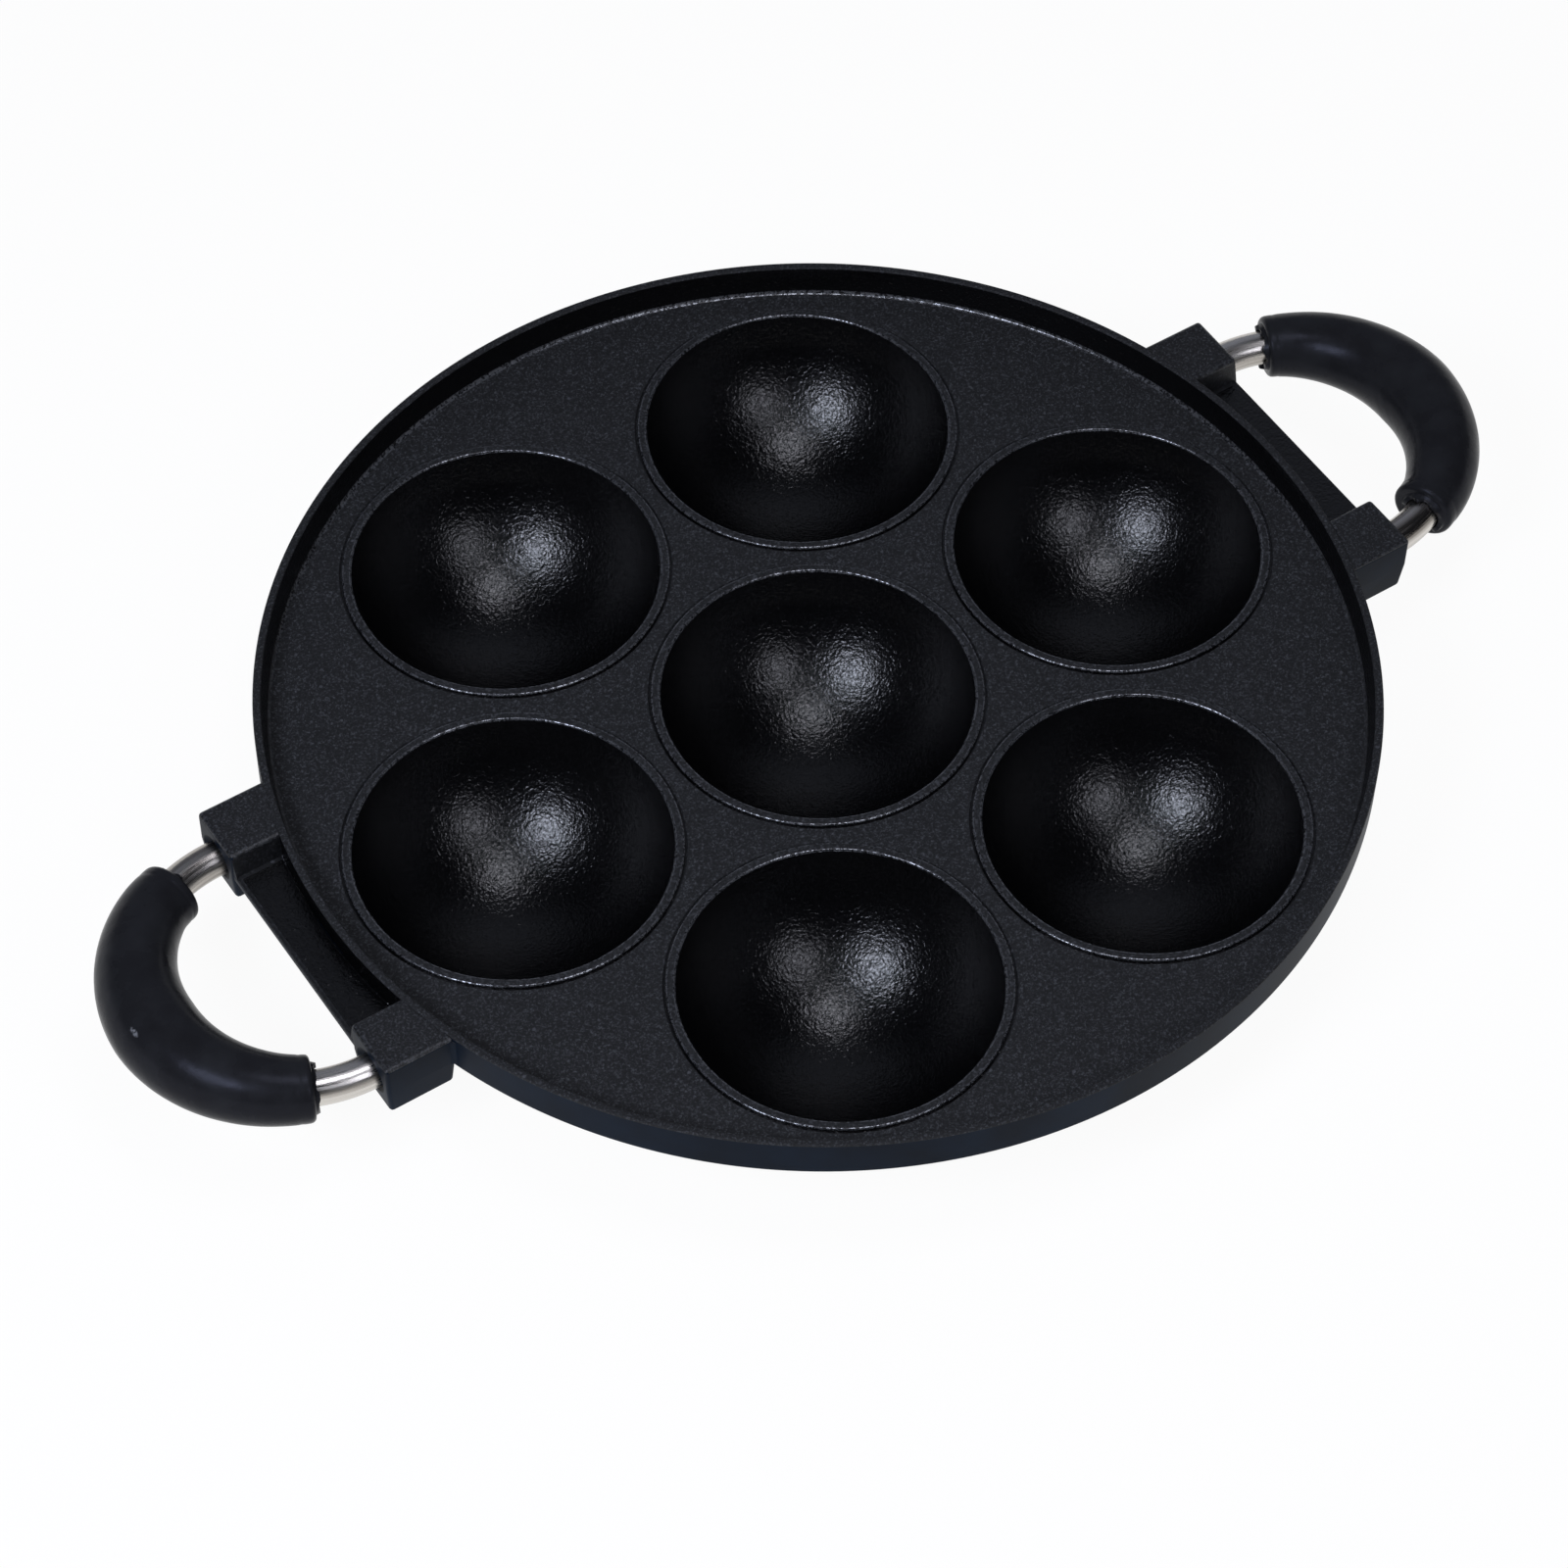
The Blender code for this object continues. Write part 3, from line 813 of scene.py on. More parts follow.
@dataclass
class Cups(Builder):
    """The seven ball cups: a lipped bowl inside a fine groove, and its dome below."""

    opening_radius: float = 33.9 * MM
    depth: float = 28.0 * MM
    wall: float = 4.0 * MM
    foot_wall: float = 2.8 * MM
    lip_edge: float = 0.4 * MM
    groove_depth: float = 0.5 * MM
    flange_fillet: float = 1.6 * MM
    rub_turns: Pair = (1.0, 2.4)
    segments: int = 144
    bowl_steps: int = 26
    lip_steps: int = 4
    fillet_steps: int = 5
    dome_steps: int = 18
    smooth_to: float = 50.0

    @property
    def lip_start(self) -> float:
        """Height where the bowl ends and the lip's rounding starts."""
        return self.sizes.lip_plane - self.lip_edge

    def outline(self) -> Outline:
        """Draw the outline of one cup.

        Returns:
            The outline, from the bowl's bottom to the foot below it.
        """
        s = self.sizes
        sphere = (self.opening_radius ** 2 + self.depth ** 2) / (2 * self.depth)
        height = self.foot_wall + sphere
        top = math.degrees(math.asin((self.lip_start - height) / sphere))
        points = arc((0.0, height), sphere, -90, top, self.bowl_steps)
        points[0] = (0.0, self.foot_wall)
        edge = self.lip_edge
        points += arc((self.opening_radius + edge, self.lip_start), edge, 180, 90, self.lip_steps)
        points += arc((s.lip_outer_radius - edge, self.lip_start), edge, 90, 0, self.lip_steps)
        points += [(s.lip_outer_radius, s.plate_top - self.groove_depth),
                   (s.lip_outer_radius + s.groove_width / 2, s.plate_top - self.groove_depth),
                   (s.hole_radius, s.plate_top), (s.hole_radius, s.plate_underside)]
        dome = sphere + self.wall
        start = s.plate_underside - self.flange_fillet
        dome_top = math.degrees(math.asin((start - height) / dome))
        reach = dome * math.cos(math.radians(dome_top))
        points += arc((reach + self.flange_fillet, start), self.flange_fillet, 90, 175, self.fillet_steps)
        dome_foot = math.degrees(math.asin(-height / dome))
        points += arc((0.0, height), dome, dome_top - 1.0, dome_foot, self.dome_steps)
        points.append((0.0, 0.0))
        return points

    def build(self) -> None:
        """Turn one cup, dress it and copy it to the seven places."""
        first = turn_on_lathe("cup", self.outline(), self.segments)
        smooth(first, self.smooth_to)
        mark_rubbed_edges(first, self.rub_turns, 1.0, lambda co: co.z > self.lip_start)
        lay_finishes(first, self.finishes.casting[:Zone.WEB.value], self.zone)
        for index, place in enumerate(self.sizes.cup_places()):
            take(first)
            bpy.ops.object.duplicate(linked=False)
            cup = bpy.context.object
            cup.name = f"cup_{index + 1}"
            bake_place(cup, place)
            hand_over(cup, "pan_body")
        bpy.data.objects.remove(first, do_unlink=True)

    def zone(self, face: Face) -> Zone:
        """Zone a cup: painted dome, glossy bowl, groove in the near-black coat as painted shade, sandy lip
        and groove's slope.

        Args:
            face: Face of the cup on the Z axis.

        Returns:
            The face's zone.
        """
        s = self.sizes
        radius = math.hypot(face.center.x, face.center.y)
        if face.normal.z < 0.02 and face.center.z < s.plate_underside:
            return Zone.OUTSIDE
        in_bowl = radius < self.opening_radius and face.center.z < self.lip_start
        # Painted shade: the groove gets the near-black cup coat as a dark line.
        in_groove = abs(radius - s.lip_outer_radius) < s.groove_width / 2 and face.center.z < s.plate_top
        return Zone.CUP if in_bowl or in_groove else Zone.COATED


@dataclass
class HandleMount(Builder):
    """Two cast lugs on one side of the rim, with the web between them."""

    side: Side
    lug_half_width: float = 7.15 * MM
    lug_bottom: float = 21.8 * MM
    lug_top: float = 37.1 * MM
    lug_inner: float = 113.4 * MM
    lug_edge: float = 0.9 * MM
    lug_draft: float = 0.6 * MM
    web_top: float = 31.4 * MM
    web_bottom: float = 28.6 * MM
    web_inset: float = 0.3 * MM
    web_edge: float = 0.9 * MM
    web_fillet: float = 1.0 * MM
    rim_fillet: float = 0.4 * MM
    corner_fillet: float = 1.2 * MM
    inner_draft: float = 1.2 * MM
    bury: float = 0.5 * MM
    overlap: float = 0.02 * MM
    rub_turns: Pair = (0.6, 1.1)
    edge_rub: float = 0.35
    # Share of the painted highlight line along the lugs' hollow feet.
    foot_rub: float = 0.8
    mouth_radius: float = 5.4 * MM
    recess_depth: float = 1.2 * MM
    bore_slack: float = 0.3 * MM
    segments: int = 288
    hollow_segments: int = 64
    bore_segments: int = 48
    edge_steps: int = 5
    foot_steps: int = 4
    strip_steps: int = 6
    smooth_to: float = 35.0

    @property
    def half_gap(self) -> float:
        """Half the gap between the two lugs."""
        return self.sizes.handle_radius - self.lug_half_width

    def block(self, name: str, low: Point, high: Point) -> Piece:
        """Add a cube and size it to a block.

        Args:
            name: Name of the new object.
            low: Its lowest corner.
            high: Its highest corner.

        Returns:
            The block.
        """
        low_corner, high_corner = Vector(low), Vector(high)
        deselect_all()
        bpy.ops.mesh.primitive_cube_add(size=1, location=(low_corner + high_corner) / 2)
        obj = bpy.context.object
        obj.name = name
        obj.scale = high_corner - low_corner
        bpy.ops.object.transform_apply(location=True, rotation=True, scale=True)
        return obj

    def lug(self, across: float) -> Piece:
        """Make one lug, drafted below its parting line, with rounded edges.

        Args:
            across: Y of the lug's middle.

        Returns:
            The lug of the +X side.
        """
        s = self.sizes
        low = (self.lug_inner, across - self.lug_half_width, self.lug_bottom)
        high = (s.handle_reach, across + self.lug_half_width, self.lug_top)
        obj = self.block("lug", low, high)
        middle = Vector(((low[0] + high[0]) / 2, across, 0))
        length, width = high[0] - low[0], high[1] - low[1]
        with edit_mode(obj, "SELECT"):
            bpy.ops.mesh.bisect(plane_co=(0, 0, s.handle_height), plane_no=(0, 0, 1))
            pick("VERT", lambda co: co.z < s.handle_height - MM)
            shrink = (1 - 2 * self.lug_draft / length, 1 - 2 * self.lug_draft / width, 1)
            bpy.ops.transform.resize(value=shrink, center_override=middle)
            pick("EDGE", lambda co: abs(co.z - s.handle_height) > 0.5 * MM)
            bpy.ops.mesh.bevel(offset=self.lug_edge, segments=self.edge_steps, affect="EDGES")
        return obj

    def web(self) -> Piece:
        """Make the flat web with rounded edges, its ends inside the lugs.

        Returns:
            The web of the +X side.
        """
        end = self.half_gap + 2 * MM
        low = (self.lug_inner + self.lug_draft, -end, self.web_bottom)
        high = (self.sizes.handle_reach - self.web_inset, end, self.web_top)
        obj = self.block("web", low, high)
        with edit_mode(obj):
            pick("EDGE", lambda co: True)
            bpy.ops.mesh.bevel(offset=self.web_edge, segments=self.edge_steps, affect="EDGES")
        return obj

    def draft_wedge(self, side: float) -> Piece:
        """Make the wedge that gives a lug's side above the web its draft.

        Args:
            side: 1 or -1 for the lug at +Y or -Y.

        Returns:
            The wedge, whose foot stands on the web.
        """
        ends = sorted((side * (self.half_gap - self.inner_draft), side * (self.half_gap + MM)))
        start = self.lug_inner + self.lug_draft + self.overlap
        stop = self.sizes.handle_reach - self.web_inset - self.overlap
        high = (stop, ends[1], self.lug_top - self.lug_edge)
        obj = self.block("draft_wedge", (start, ends[0], self.web_top - self.bury), high)
        with edit_mode(obj):
            pick("VERT", lambda co: co.z > high[2] - 0.1 * MM and abs(co.y) < self.half_gap)
            bpy.ops.transform.translate(value=(0, side * (self.inner_draft + self.overlap), 0))
        return obj

    def round_foot(self, obj: Piece) -> None:
        """Fillet the corner where the web's top meets the lugs' drafted sides.

        Args:
            obj: Web, lugs and wedges, joined.
        """
        with edit_mode(obj):
            pick("EDGE", lambda co: abs(co.z - self.web_top) < SAME_LEVEL
                 and self.half_gap - 1.5 * MM < abs(co.y) < self.half_gap)
            bpy.ops.mesh.bevel(offset=self.web_fillet, segments=self.foot_steps, affect="EDGES")

    def rim_strip(self) -> Piece:
        """Turn the concave strip where the web's top runs up the rim's wall, cut to the web's length.

        Returns:
            The strip of the +X side.
        """
        in_wall = self.sizes.rim_radius - 0.6 * MM
        hollow = (self.sizes.rim_radius + self.rim_fillet, self.web_top + self.rim_fillet)
        outline = [(in_wall, self.web_top - self.bury), (hollow[0], self.web_top - self.bury),
                   *arc(hollow, self.rim_fillet, 270, 180, self.strip_steps), (in_wall, hollow[1])]
        obj = turn_on_lathe("rim_strip", outline, self.segments)
        end = self.half_gap + MM
        keep = self.block("keep", (100 * MM, -end, 20 * MM), (140 * MM, end, 45 * MM))
        combine(obj, keep, "INTERSECT")
        return obj

    def corner_strip(self, across: float) -> Piece:
        """Make the upright concave strip where a lug's side meets the rim's wall.

        Args:
            across: Y of the lug's side; the strip lies beyond it, away from the lug.

        Returns:
            The strip, a block with a round hollow down it.
        """
        s = self.sizes
        away = 1 if abs(across) > s.handle_radius else -1
        side = math.copysign(1, across)
        reach = s.rim_radius + self.corner_fillet
        hollow_y = abs(across) + away * self.corner_fillet
        hollow_x = math.sqrt(reach ** 2 - hollow_y ** 2)
        shrink = s.rim_radius / reach
        ends = sorted((side * (abs(across) - away * self.bury), side * hollow_y * shrink))
        low = (hollow_x * shrink - 1.6 * MM, ends[0], s.plate_underside + MM)
        high = (hollow_x, ends[1], self.lug_top - self.lug_edge)
        obj = self.block("corner_strip", low, high)
        middle = (hollow_x, side * hollow_y, self.lug_top)
        hollow = drum(self.corner_fillet, 60 * MM, middle, self.hollow_segments)
        combine(obj, hollow, "DIFFERENCE")
        return obj

    def bore_tool(self, across: float) -> Piece:
        """Make the tool for the bore and its conical recess in one lug.

        Args:
            across: Y of the lug's middle.

        Returns:
            The tool, in its place.
        """
        s = self.sizes
        end = -s.rod_seating - self.bore_slack
        outline = [(0.0, 2 * MM), (self.mouth_radius, 2 * MM), (self.mouth_radius, 0.0),
                   (s.bore_radius, -self.recess_depth), (s.bore_radius, end), (0.0, end)]
        tool = turn_on_lathe("bore_tool", outline, self.bore_segments)
        along_x = Matrix.Rotation(math.pi / 2, 4, "Y")
        return bake_place(tool, s.handle_frame(Side.RIGHT) @ Matrix.Translation((0, across, 0)) @ along_x)

    def build(self) -> None:
        """Join lugs and web, trim them to the rim, bore them and dress them."""
        s = self.sizes
        obj = self.web()
        for across in (-s.handle_radius, s.handle_radius):
            combine(obj, self.lug(across), "UNION")
            outer = across + math.copysign(self.lug_half_width, across)
            combine(obj, self.corner_strip(outer), "UNION")
        for side in (-1, 1):
            combine(obj, self.draft_wedge(side), "UNION")
        mend(obj)
        self.round_foot(obj)
        combine(obj, self.rim_strip(), "UNION")
        in_wall = drum(s.rim_radius - s.rim_wall / 2, 80 * MM, (0, 0, 0), self.segments)
        combine(obj, in_wall, "DIFFERENCE")
        for across in (-s.handle_radius, s.handle_radius):
            combine(obj, self.bore_tool(across), "DIFFERENCE")
        mend(obj)
        smooth(obj, self.smooth_to)
        mark_rubbed_edges(obj, self.rub_turns, self.edge_rub, lambda co: co.z > self.web_top + MM)
        bake_place(obj, Matrix.Rotation(self.side.value, 4, "Z"))
        obj.name = f"handle_mount_{self.side.name.lower()}"
        lay_finishes(obj, self.finishes.casting, self.zone)
        # Painted highlight: lay a glint line of metal crumbs along the lugs' hollow feet.
        rub = obj.data.attributes[WEAR_AND_GLINT].data
        for face in filter(self.in_foot, obj.data.polygons):
            rub[face.index].value = self.foot_rub
        hand_over(obj, "pan_body")

    def in_foot(self, face: Face) -> bool:
        """Find the hollow feet of the lugs' sides on the web, which take the painted highlight line.

        Args:
            face: Face of the piece.

        Returns:
            Whether the face belongs to one.
        """
        in_corner = self.half_gap - 3 * MM < abs(face.center.y) < self.half_gap
        just_over_web = self.web_top < face.center.z < self.web_top + 1.2 * MM
        return in_corner and just_over_web and 0.3 < face.normal.z < 0.99

    def zone(self, face: Face) -> Zone:
        """Zone a mount: a darker coat as painted shade on the web and up the lugs' inner sides, and the
        near-black glossy coat as painted shade along the rim.

        Args:
            face: Face of the piece.

        Returns:
            The face's zone.
        """
        inside = abs(face.center.y) < self.half_gap + 0.1 * MM and face.center.z > self.web_top - 0.3 * MM
        # Painted shade: the web and the lugs' inner sides get the darker coat, and the hollows along the rim
        # the near-black one.
        if inside and face.normal.z > -0.1 and abs(face.normal.x) < 0.99:
            along_rim = math.hypot(face.center.x, face.center.y) < self.sizes.rim_radius + self.rim_fillet
            return Zone.CUP if along_rim else Zone.WEB
        return Zone.COATED if face.normal.z > 0.35 else Zone.OUTSIDE


@dataclass
class Handle(Builder):
    """Bent steel rod with its rubber sleeve."""

    side: Side
    sleeve_radius: float = 9.3 * MM
    sleeve_end_radius: float = 6.8 * MM
    sleeve_standoff: float = 12.0 * MM
    taper_power: float = 1.35
    bead: Pair = (0.25 * MM, 0.1 * MM)
    bead_length: float = 3.4 * MM
    bead_shift: Pair = (0.5 * MM, 0.0)
    crease_depth: float = 0.07 * MM
    crease_place: float = 2.6 * MM
    crease_width: float = 0.45 * MM
    rounding: float = 1.0 * MM
    collar_radius: float = 5.5 * MM
    collar_length: float = 0.5 * MM
    collar_chamfer: float = 0.4 * MM
    streak_stretch: float = 0.03
    sections: int = 72
    rod_smooth_to: float = 40.0
    sleeve_smooth_to: float = 45.0
    rod_steps: int = 64
    sleeve_steps: int = 72
    bore_steps: int = 40
    crease_steps: int = 12
    tip_steps: int = 5
    nub_shares: tuple[float, ...] = (1.0, 0.75, 0.5)
    nubs: tuple[tuple[float, float, float], ...] = (
        (10, 50, 0.5 * MM), (70, 100, 0.3 * MM), (120, 165, 0.7 * MM), (180, 215, 0.4 * MM),
        (235, 265, 0.8 * MM), (285, 335, 0.4 * MM))

    @property
    def half_angle(self) -> float:
        """Angle from the handle's middle to a sleeve's end."""
        return math.acos(self.sleeve_standoff / self.sizes.handle_radius)

    def ring(self, name: str, radius: float, angle: float) -> Piece:
        """Add a ring of edges across the handle's half circle.

        Args:
            name: Name of the new object.
            radius: The ring's radius.
            angle: Angle from the handle's middle in radians.

        Returns:
            The ring, in the handle's frame.
        """
        reach = self.sizes.handle_radius
        deselect_all()
        bpy.ops.mesh.primitive_circle_add(vertices=self.sections, radius=radius)
        obj = bpy.context.object
        obj.name = name
        upright = Matrix.Translation((reach, 0, 0)) @ Matrix.Rotation(math.pi / 2, 4, "X")
        return bake_place(obj, Matrix.Rotation(angle, 4, "Z") @ upright)

    def build_rod(self) -> None:
        """Extrude the rod's ends and spin its half circle."""
        s = self.sizes
        obj = self.ring("rod", s.rod_radius, -math.pi / 2)
        bake_place(obj, Matrix.Translation((-s.rod_seating, 0, 0)))
        with edit_mode(obj, "SELECT"):
            extrude((s.rod_seating, 0, 0))
            spin(math.pi, self.rod_steps)
            extrude((-s.rod_seating, 0, 0))
            pick("EDGE", lambda co: co.x < -s.rod_seating + 0.01 * MM)
            bpy.ops.mesh.edge_face_add()
        mend(obj)
        smooth(obj, self.rod_smooth_to)
        self.mark_lay(obj)
        self.put_in_place(obj, "handle_rod", self.finishes.steel, "steel_rod")

    def mark_lay(self, obj: Piece) -> None:
        """Store each point's place across the rod and, shrunk, along it, for streaks along the rod.

        Args:
            obj: Rod in the handle's frame.
        """
        reach = self.sizes.handle_radius
        lay = []
        for vertex in obj.data.vertices:
            x, y, z = vertex.co
            if x > 0:
                across, along = math.hypot(x, y), reach * math.atan2(y, x)
            else:
                across, along = abs(y), math.copysign(reach * math.pi / 2 - x, y)
            lay += [across - reach, z, along * self.streak_stretch]
        store(obj, LAY, lay, "FLOAT_VECTOR", "POINT")

    def swell(self, angle: float) -> float:
        """Let the end bead swell towards the sleeve's end.

        Args:
            angle: Angle from the handle's middle in radians.

        Returns:
            How far it has swollen, from 0 on the body to 1 at the end.
        """
        from_end = (self.half_angle - abs(angle)) * self.sizes.handle_radius
        share = max(0.0, 1.0 - from_end / (2 * self.bead_length))
        return share * share * (3 - 2 * share)

    def sleeve_radius_at(self, angle: float) -> float:
        """Shape the sleeve, with its end beads and rounding.

        Args:
            angle: Angle from the handle's middle in radians.

        Returns:
            The sleeve's radius there.
        """
        share = min(1.0, abs(angle) / self.half_angle)
        taper = self.sleeve_radius - self.sleeve_end_radius
        radius = self.sleeve_radius - taper * share ** self.taper_power
        from_end = (self.half_angle - abs(angle)) * self.sizes.handle_radius
        radius += self.bead[angle > 0] * self.swell(angle)
        radius -= self.crease_depth * math.exp(-((from_end - self.crease_place) / self.crease_width) ** 2)
        if from_end < self.rounding:
            gap = self.rounding - from_end
            radius -= self.rounding - math.sqrt(max(0.0, self.rounding ** 2 - gap ** 2))
        return radius

    def sleeve_angles(self) -> list[float]:
        """Give the angles of the sleeve's rings, closer together at its rounded ends.

        Returns:
            Angles from the handle's middle, from end to end.
        """
        reach = self.sizes.handle_radius
        end = self.half_angle - self.rounding / reach
        near_end = end - (self.crease_place + self.crease_width) / reach
        body = [near_end * (2 * step / self.sleeve_steps - 1) for step in range(self.sleeve_steps + 1)]
        shares = [step / self.crease_steps for step in range(1, self.crease_steps + 1)]
        crease = [near_end + (end - near_end) * share for share in shares]
        turns = [math.pi / 2 * step / self.tip_steps for step in range(1, self.tip_steps + 1)]
        tip = crease + [end + self.rounding / reach * math.sin(turn) for turn in turns]
        return [-angle for angle in reversed(tip)] + body + tip

    def build_sleeve(self) -> None:
        """Spin the sleeve ring by ring, size each ring, and close the sleeve with its bore."""
        angles = self.sleeve_angles()
        obj = self.ring("sleeve", self.sleeve_radius_at(angles[0]), angles[0])
        with edit_mode(obj, "SELECT"):
            for angle, following in zip(angles, angles[1:]):
                spin(following - angle)
                self.resize_ring(following, self.sleeve_radius_at(following) / self.sleeve_radius_at(angle))
            bore = self.close_end(angles[-1])
            spin(-2 * bore, self.bore_steps)
            self.close_end(angles[0], outwards=False)
        mend(obj)
        self.push_nubs(obj)
        self.lean_beads(obj)
        smooth(obj, self.sleeve_smooth_to)
        self.put_in_place(obj, "grip", self.finishes.rubber, "sleeve_rubber")

    def close_end(self, angle: float, outwards: bool = True) -> float:
        """Close one end of the sleeve: flat face, collar squeezed out round the rod, and bore.

        Args:
            angle: Angle of the end face from the handle's middle.
            outwards: Whether the selected ring is the sleeve's outer edge, and not its bore.

        Returns:
            The angle of the collar's tip, where the bore starts.
        """
        s = self.sizes
        tip = angle + math.copysign(self.collar_length / s.handle_radius, angle)
        stations = [(angle, self.sleeve_radius_at(angle)), (angle, self.collar_radius),
                    (tip, self.collar_radius - self.collar_chamfer), (tip, s.bore_radius)]
        if not outwards:
            stations.reverse()
        for (place, radius), (next_place, next_radius) in zip(stations, stations[1:]):
            if next_place == place:
                extrude((0, 0, 0))
            else:
                spin(next_place - place)
            self.resize_ring(next_place, next_radius / radius)
        return tip

    def push_nubs(self, obj: Piece) -> None:
        """Push parts of the collars outwards along the rod, so that their edges are uneven.

        Args:
            obj: Sleeve in the handle's frame.
        """
        reach = self.sizes.handle_radius
        edge = self.half_angle + 0.3 * self.collar_length / reach
        with edit_mode(obj):
            for end in (-1, 1):
                for start, stop, push in self.nubs:
                    for share in self.nub_shares:
                        middle, half = (start + stop) / 2, (stop - start) / 2 * share

                        def chosen(co: Vector) -> bool:
                            """Say whether a point is part of this push."""
                            turn = math.degrees(math.atan2(co.z * end, math.hypot(co.x, co.y) - reach)) % 360
                            return end * math.atan2(co.y, co.x) > edge and abs(turn - middle) < half
                        pick("VERT", chosen)
                        along = Vector((-math.sin(self.half_angle), end * math.cos(self.half_angle), 0))
                        bpy.ops.transform.translate(value=along * push / len(self.nub_shares))

    def lean_beads(self, obj: Piece) -> None:
        """Shift the sleeve's outer skin at its beads towards the inside of the bend, ring by ring.

        Args:
            obj: Sleeve in the handle's frame.
        """
        reach = self.sizes.handle_radius
        skin = self.collar_radius + 0.1 * MM
        with edit_mode(obj):
            for angle in [turn for turn in self.sleeve_angles() if self.swell(turn) > 0]:

                def chosen(co: Vector) -> bool:
                    """Say whether a point is on this ring and on the outer skin."""
                    off_axis = math.hypot(math.hypot(co.x, co.y) - reach, co.z)
                    return abs(math.atan2(co.y, co.x) - angle) < 1e-4 and off_axis > skin
                pick("VERT", chosen)
                inwards = -self.bead_shift[angle > 0] * self.swell(angle)
                bpy.ops.transform.translate(value=(inwards * math.cos(angle), inwards * math.sin(angle), 0))

    def resize_ring(self, angle: float, ratio: float) -> None:
        """Resize the selected ring about its own middle.

        Args:
            angle: Angle from the handle's middle in radians.
            ratio: Its new size over its old one.
        """
        reach = self.sizes.handle_radius
        middle = (reach * math.cos(angle), reach * math.sin(angle), 0)
        bpy.ops.transform.resize(value=(ratio, ratio, ratio), center_override=middle)

    def put_in_place(self, obj: Piece, part: str, finish: Finish, slot: str) -> None:
        """Put a piece on its side of the pan, give it its finish and hand it over.

        Args:
            obj: Piece in the handle's frame.
            part: First words of its CAD node's name.
            finish: Material of the piece.
            slot: Not used.
        """
        side = self.side.name.lower()
        bake_place(obj, self.sizes.handle_frame(self.side))
        obj.name = f"{part}_{side}_shown"
        lay_finishes(obj, (finish,))
        hand_over(obj, f"{part}_{side}")


# The studio


@dataclass(frozen=True)
class SoftLamp:
    """Round soft lamp: its place, its radius, its brightness and its colour."""

    name: str
    place: Point
    radius: float
    radiance: float
    colour: str

    def build(self) -> None:
        """Hang the lamp and turn it to the middle of the pan."""
        data = bpy.data.lights.new(self.name, "AREA")
        data.shape = "DISK"
        data.size = 2 * self.radius
        data.energy = self.radiance * math.pi * math.pi * self.radius ** 2
        data.color = linear(self.colour)[:3]
        lamp = bpy.data.objects.new(self.name, data)
        bpy.context.scene.collection.objects.link(lamp)
        lamp.location = self.place
        aim = Vector(PAN_MIDDLE) - lamp.location
        lamp.rotation_euler = aim.to_track_quat("-Z", "Y").to_euler()
        lamp.visible_camera = False


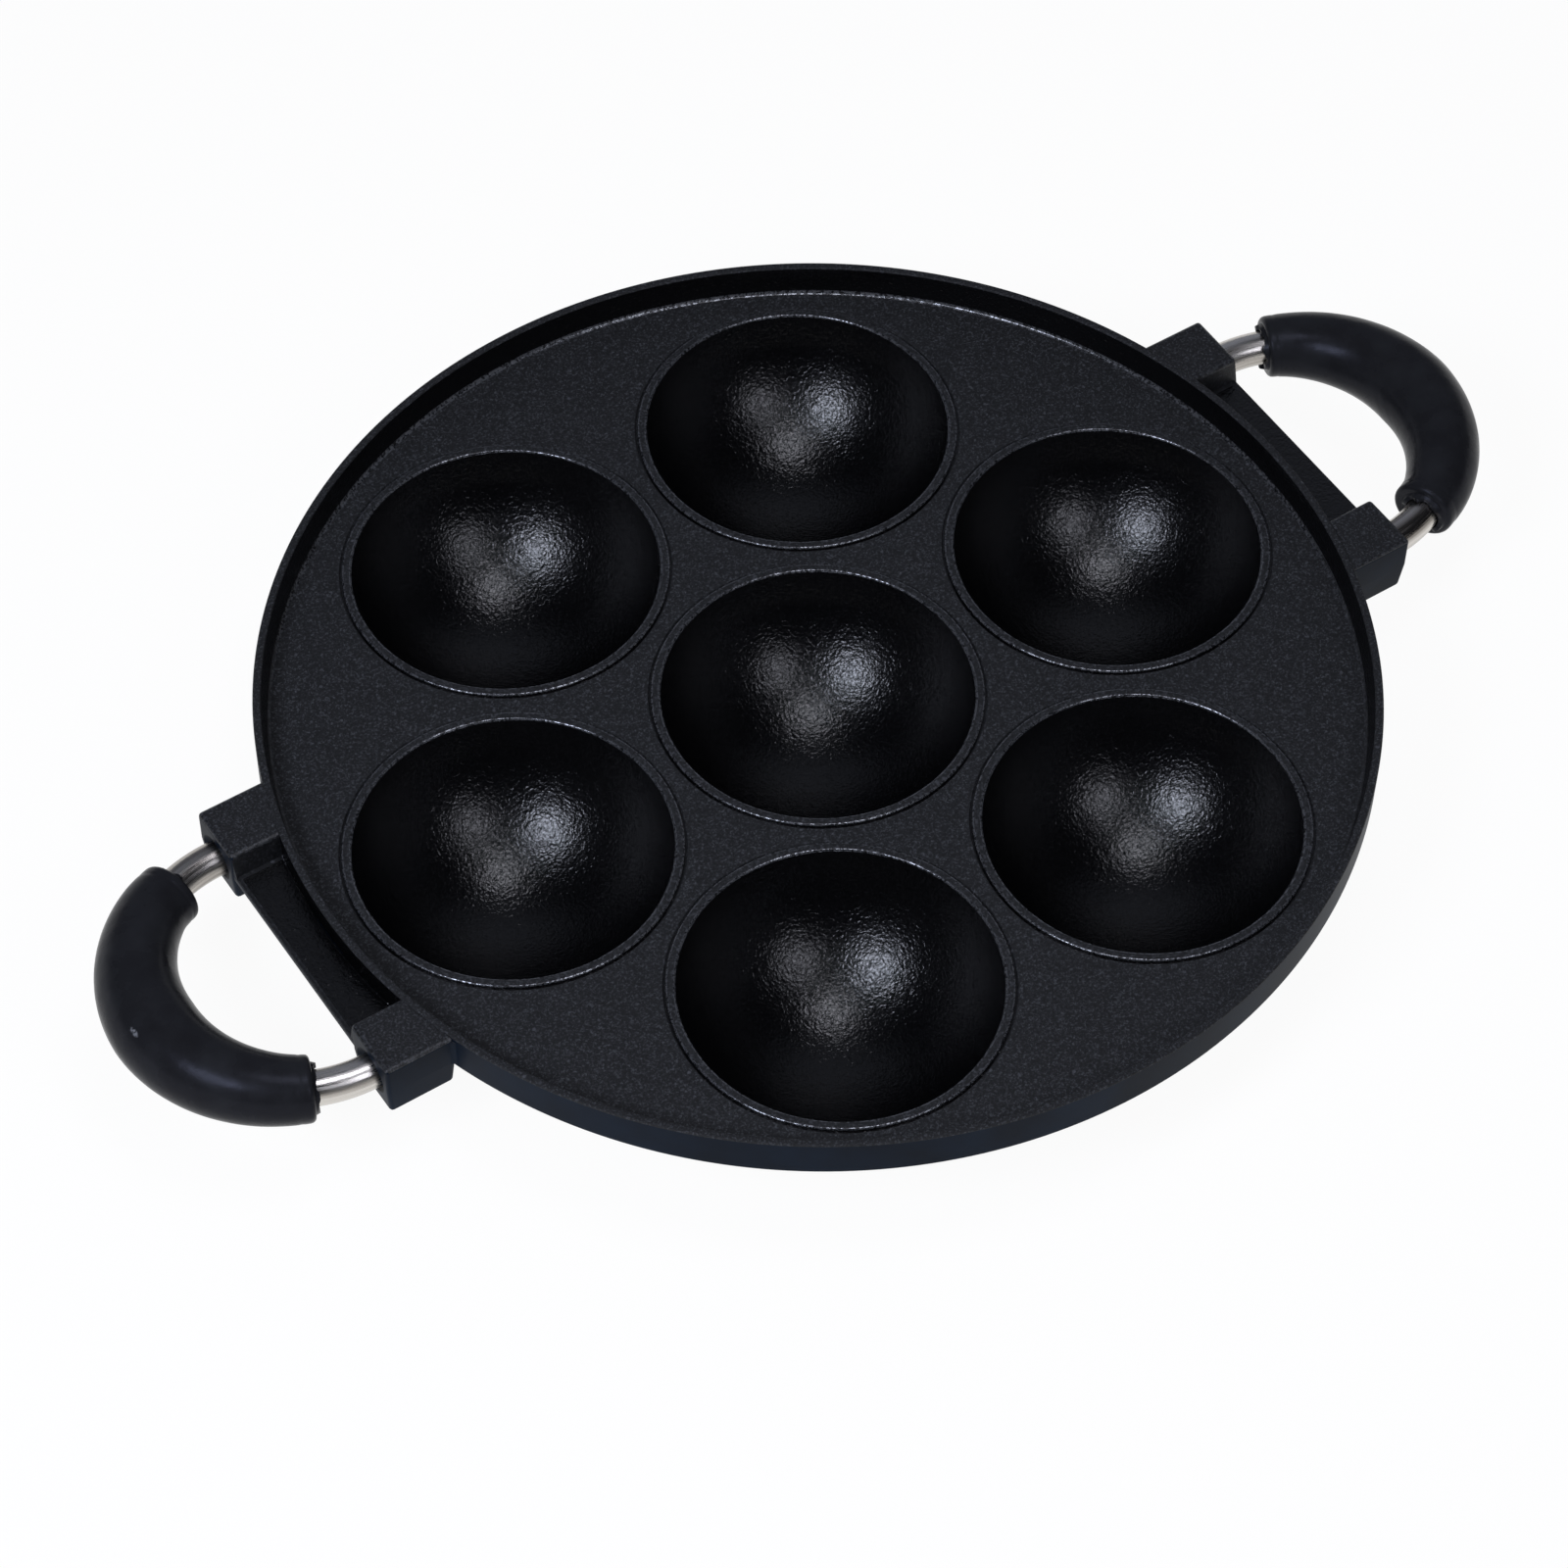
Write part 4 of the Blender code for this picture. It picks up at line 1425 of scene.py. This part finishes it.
@dataclass
class Studio:
    """Pale floor and backdrop, three soft lamps, dim surroundings and the camera."""

    floor_radius: float = 3.0
    floor_drop: float = 0.05 * MM
    wall_height: float = 0.42
    corner: float = 0.4
    floor_segments: int = 128
    corner_steps: int = 8
    glow_from: Point = (0.49, 0.71, 0.5)
    camera_place: Point = (-0.356695, -0.518273, 0.816934)
    camera_turn: tuple[float, float, float] = (37.531154, -0.522553, -33.220889)
    lens: float = 107.799
    lamps: tuple[SoftLamp, ...] = (
        SoftLamp("lamp_near", (0.094, -0.860, 0.817), 0.205, 4.9, "#EAECF9"),
        SoftLamp("lamp_side", (-0.710, -0.242, 0.809), 0.19, 17.2, "#E6ECFF"),
        SoftLamp("lamp_top", (0.002, -0.126, 0.837), 0.145, 7.4, "#ECEDF9"))

    def board(self) -> Finish:
        """Build the pale board: white where it is looked at, a soft diffuse white for the light.

        Returns:
            The board's material.
        """
        made = bpy.data.materials.new("pale_board")
        made.use_nodes = True
        tree = made.node_tree
        tree.nodes.clear()
        rays = add(tree, "LightPath").outputs
        seen = calculate(tree, "MAXIMUM", rays["Is Camera Ray"], rays["Is Glossy Ray"])
        seen = calculate(tree, "MAXIMUM", seen, rays["Is Transmission Ray"])
        white = add(tree, "Emission", {"Color": linear("#FDFDFD"), "Strength": 0.965})
        matt = add(tree, "BsdfDiffuse", {"Color": linear("#F4F4F4")})
        faint = add(tree, "BsdfDiffuse", {"Color": linear("#484848")})
        looked_at = add(tree, "AddShader", {0: white, 1: faint})
        add(tree, "OutputMaterial", {"Surface": add(tree, "MixShader", {0: seen, 1: matt, 2: looked_at})})
        return made

    def build_floor(self) -> None:
        """Make the round floor with its backdrop wall, joined by a wide round."""
        deselect_all()
        bpy.ops.mesh.primitive_circle_add(vertices=self.floor_segments, radius=self.floor_radius,
                                          fill_type="NGON", location=(0, 0, -self.floor_drop))
        bpy.ops.object.transform_apply(location=True)
        floor = bpy.context.object
        floor.name = "floor"
        with edit_mode(floor):
            pick("EDGE", lambda co: True)
            bpy.ops.mesh.extrude_edges_move(TRANSFORM_OT_translate={"value": (0, 0, self.wall_height)})
            pick("EDGE", lambda co: co.z < MM)
            bpy.ops.mesh.bevel(offset=self.corner, segments=self.corner_steps, affect="EDGES")
        take(floor)
        bpy.ops.object.shade_smooth_by_angle(angle=math.radians(40))
        lay_finishes(floor, (self.board(),))

    def build_surroundings(self) -> None:
        """Surround the scene with a dim blue grey that glows softly behind the pan."""
        world = bpy.data.worlds.new("dim_studio")
        bpy.context.scene.world = world
        world.use_nodes = True
        tree = world.node_tree
        towards = add(tree, "TexCoord").outputs["Generated"]
        back = add(tree, "VectorMath", {0: towards, 1: self.glow_from}, operation="DOT_PRODUCT")
        glow = remap(tree, back.outputs["Value"], (0.68, 0.97), (0.015, 0.5))
        feed(tree, tree.nodes["Background"], {"Color": linear("#B4BACB"), "Strength": glow})

    def build_camera(self) -> None:
        """Set up the camera where the photograph was taken from."""
        data = bpy.data.cameras.new("camera")
        data.sensor_width = 36.0
        data.lens = self.lens
        data.clip_end = 20.0
        camera = bpy.data.objects.new("camera", data)
        bpy.context.scene.collection.objects.link(camera)
        camera.location = self.camera_place
        camera.rotation_euler = Euler([math.radians(turn) for turn in self.camera_turn], "XYZ")
        bpy.context.scene.camera = camera

    def build(self) -> None:
        """Set up floor, lamps, surroundings and camera, and keep the colours as they are."""
        self.build_floor()
        for lamp in self.lamps:
            lamp.build()
        self.build_surroundings()
        self.build_camera()
        bpy.context.scene.view_settings.view_transform = "Standard"


def main() -> None:
    """Build the pan piece by piece, dress it and set up the studio."""
    logging.basicConfig(level=logging.INFO, format="%(message)s")
    sizes = PanSizes()
    finishes = Finishes.make()
    PlateAndRim(sizes, finishes).build()
    Cups(sizes, finishes).build()
    for side in Side:
        HandleMount(sizes, finishes, side).build()
        handle = Handle(sizes, finishes, side)
        handle.build_rod()
        handle.build_sleeve()
    Studio().build()


if __name__ == "__main__":
    main()
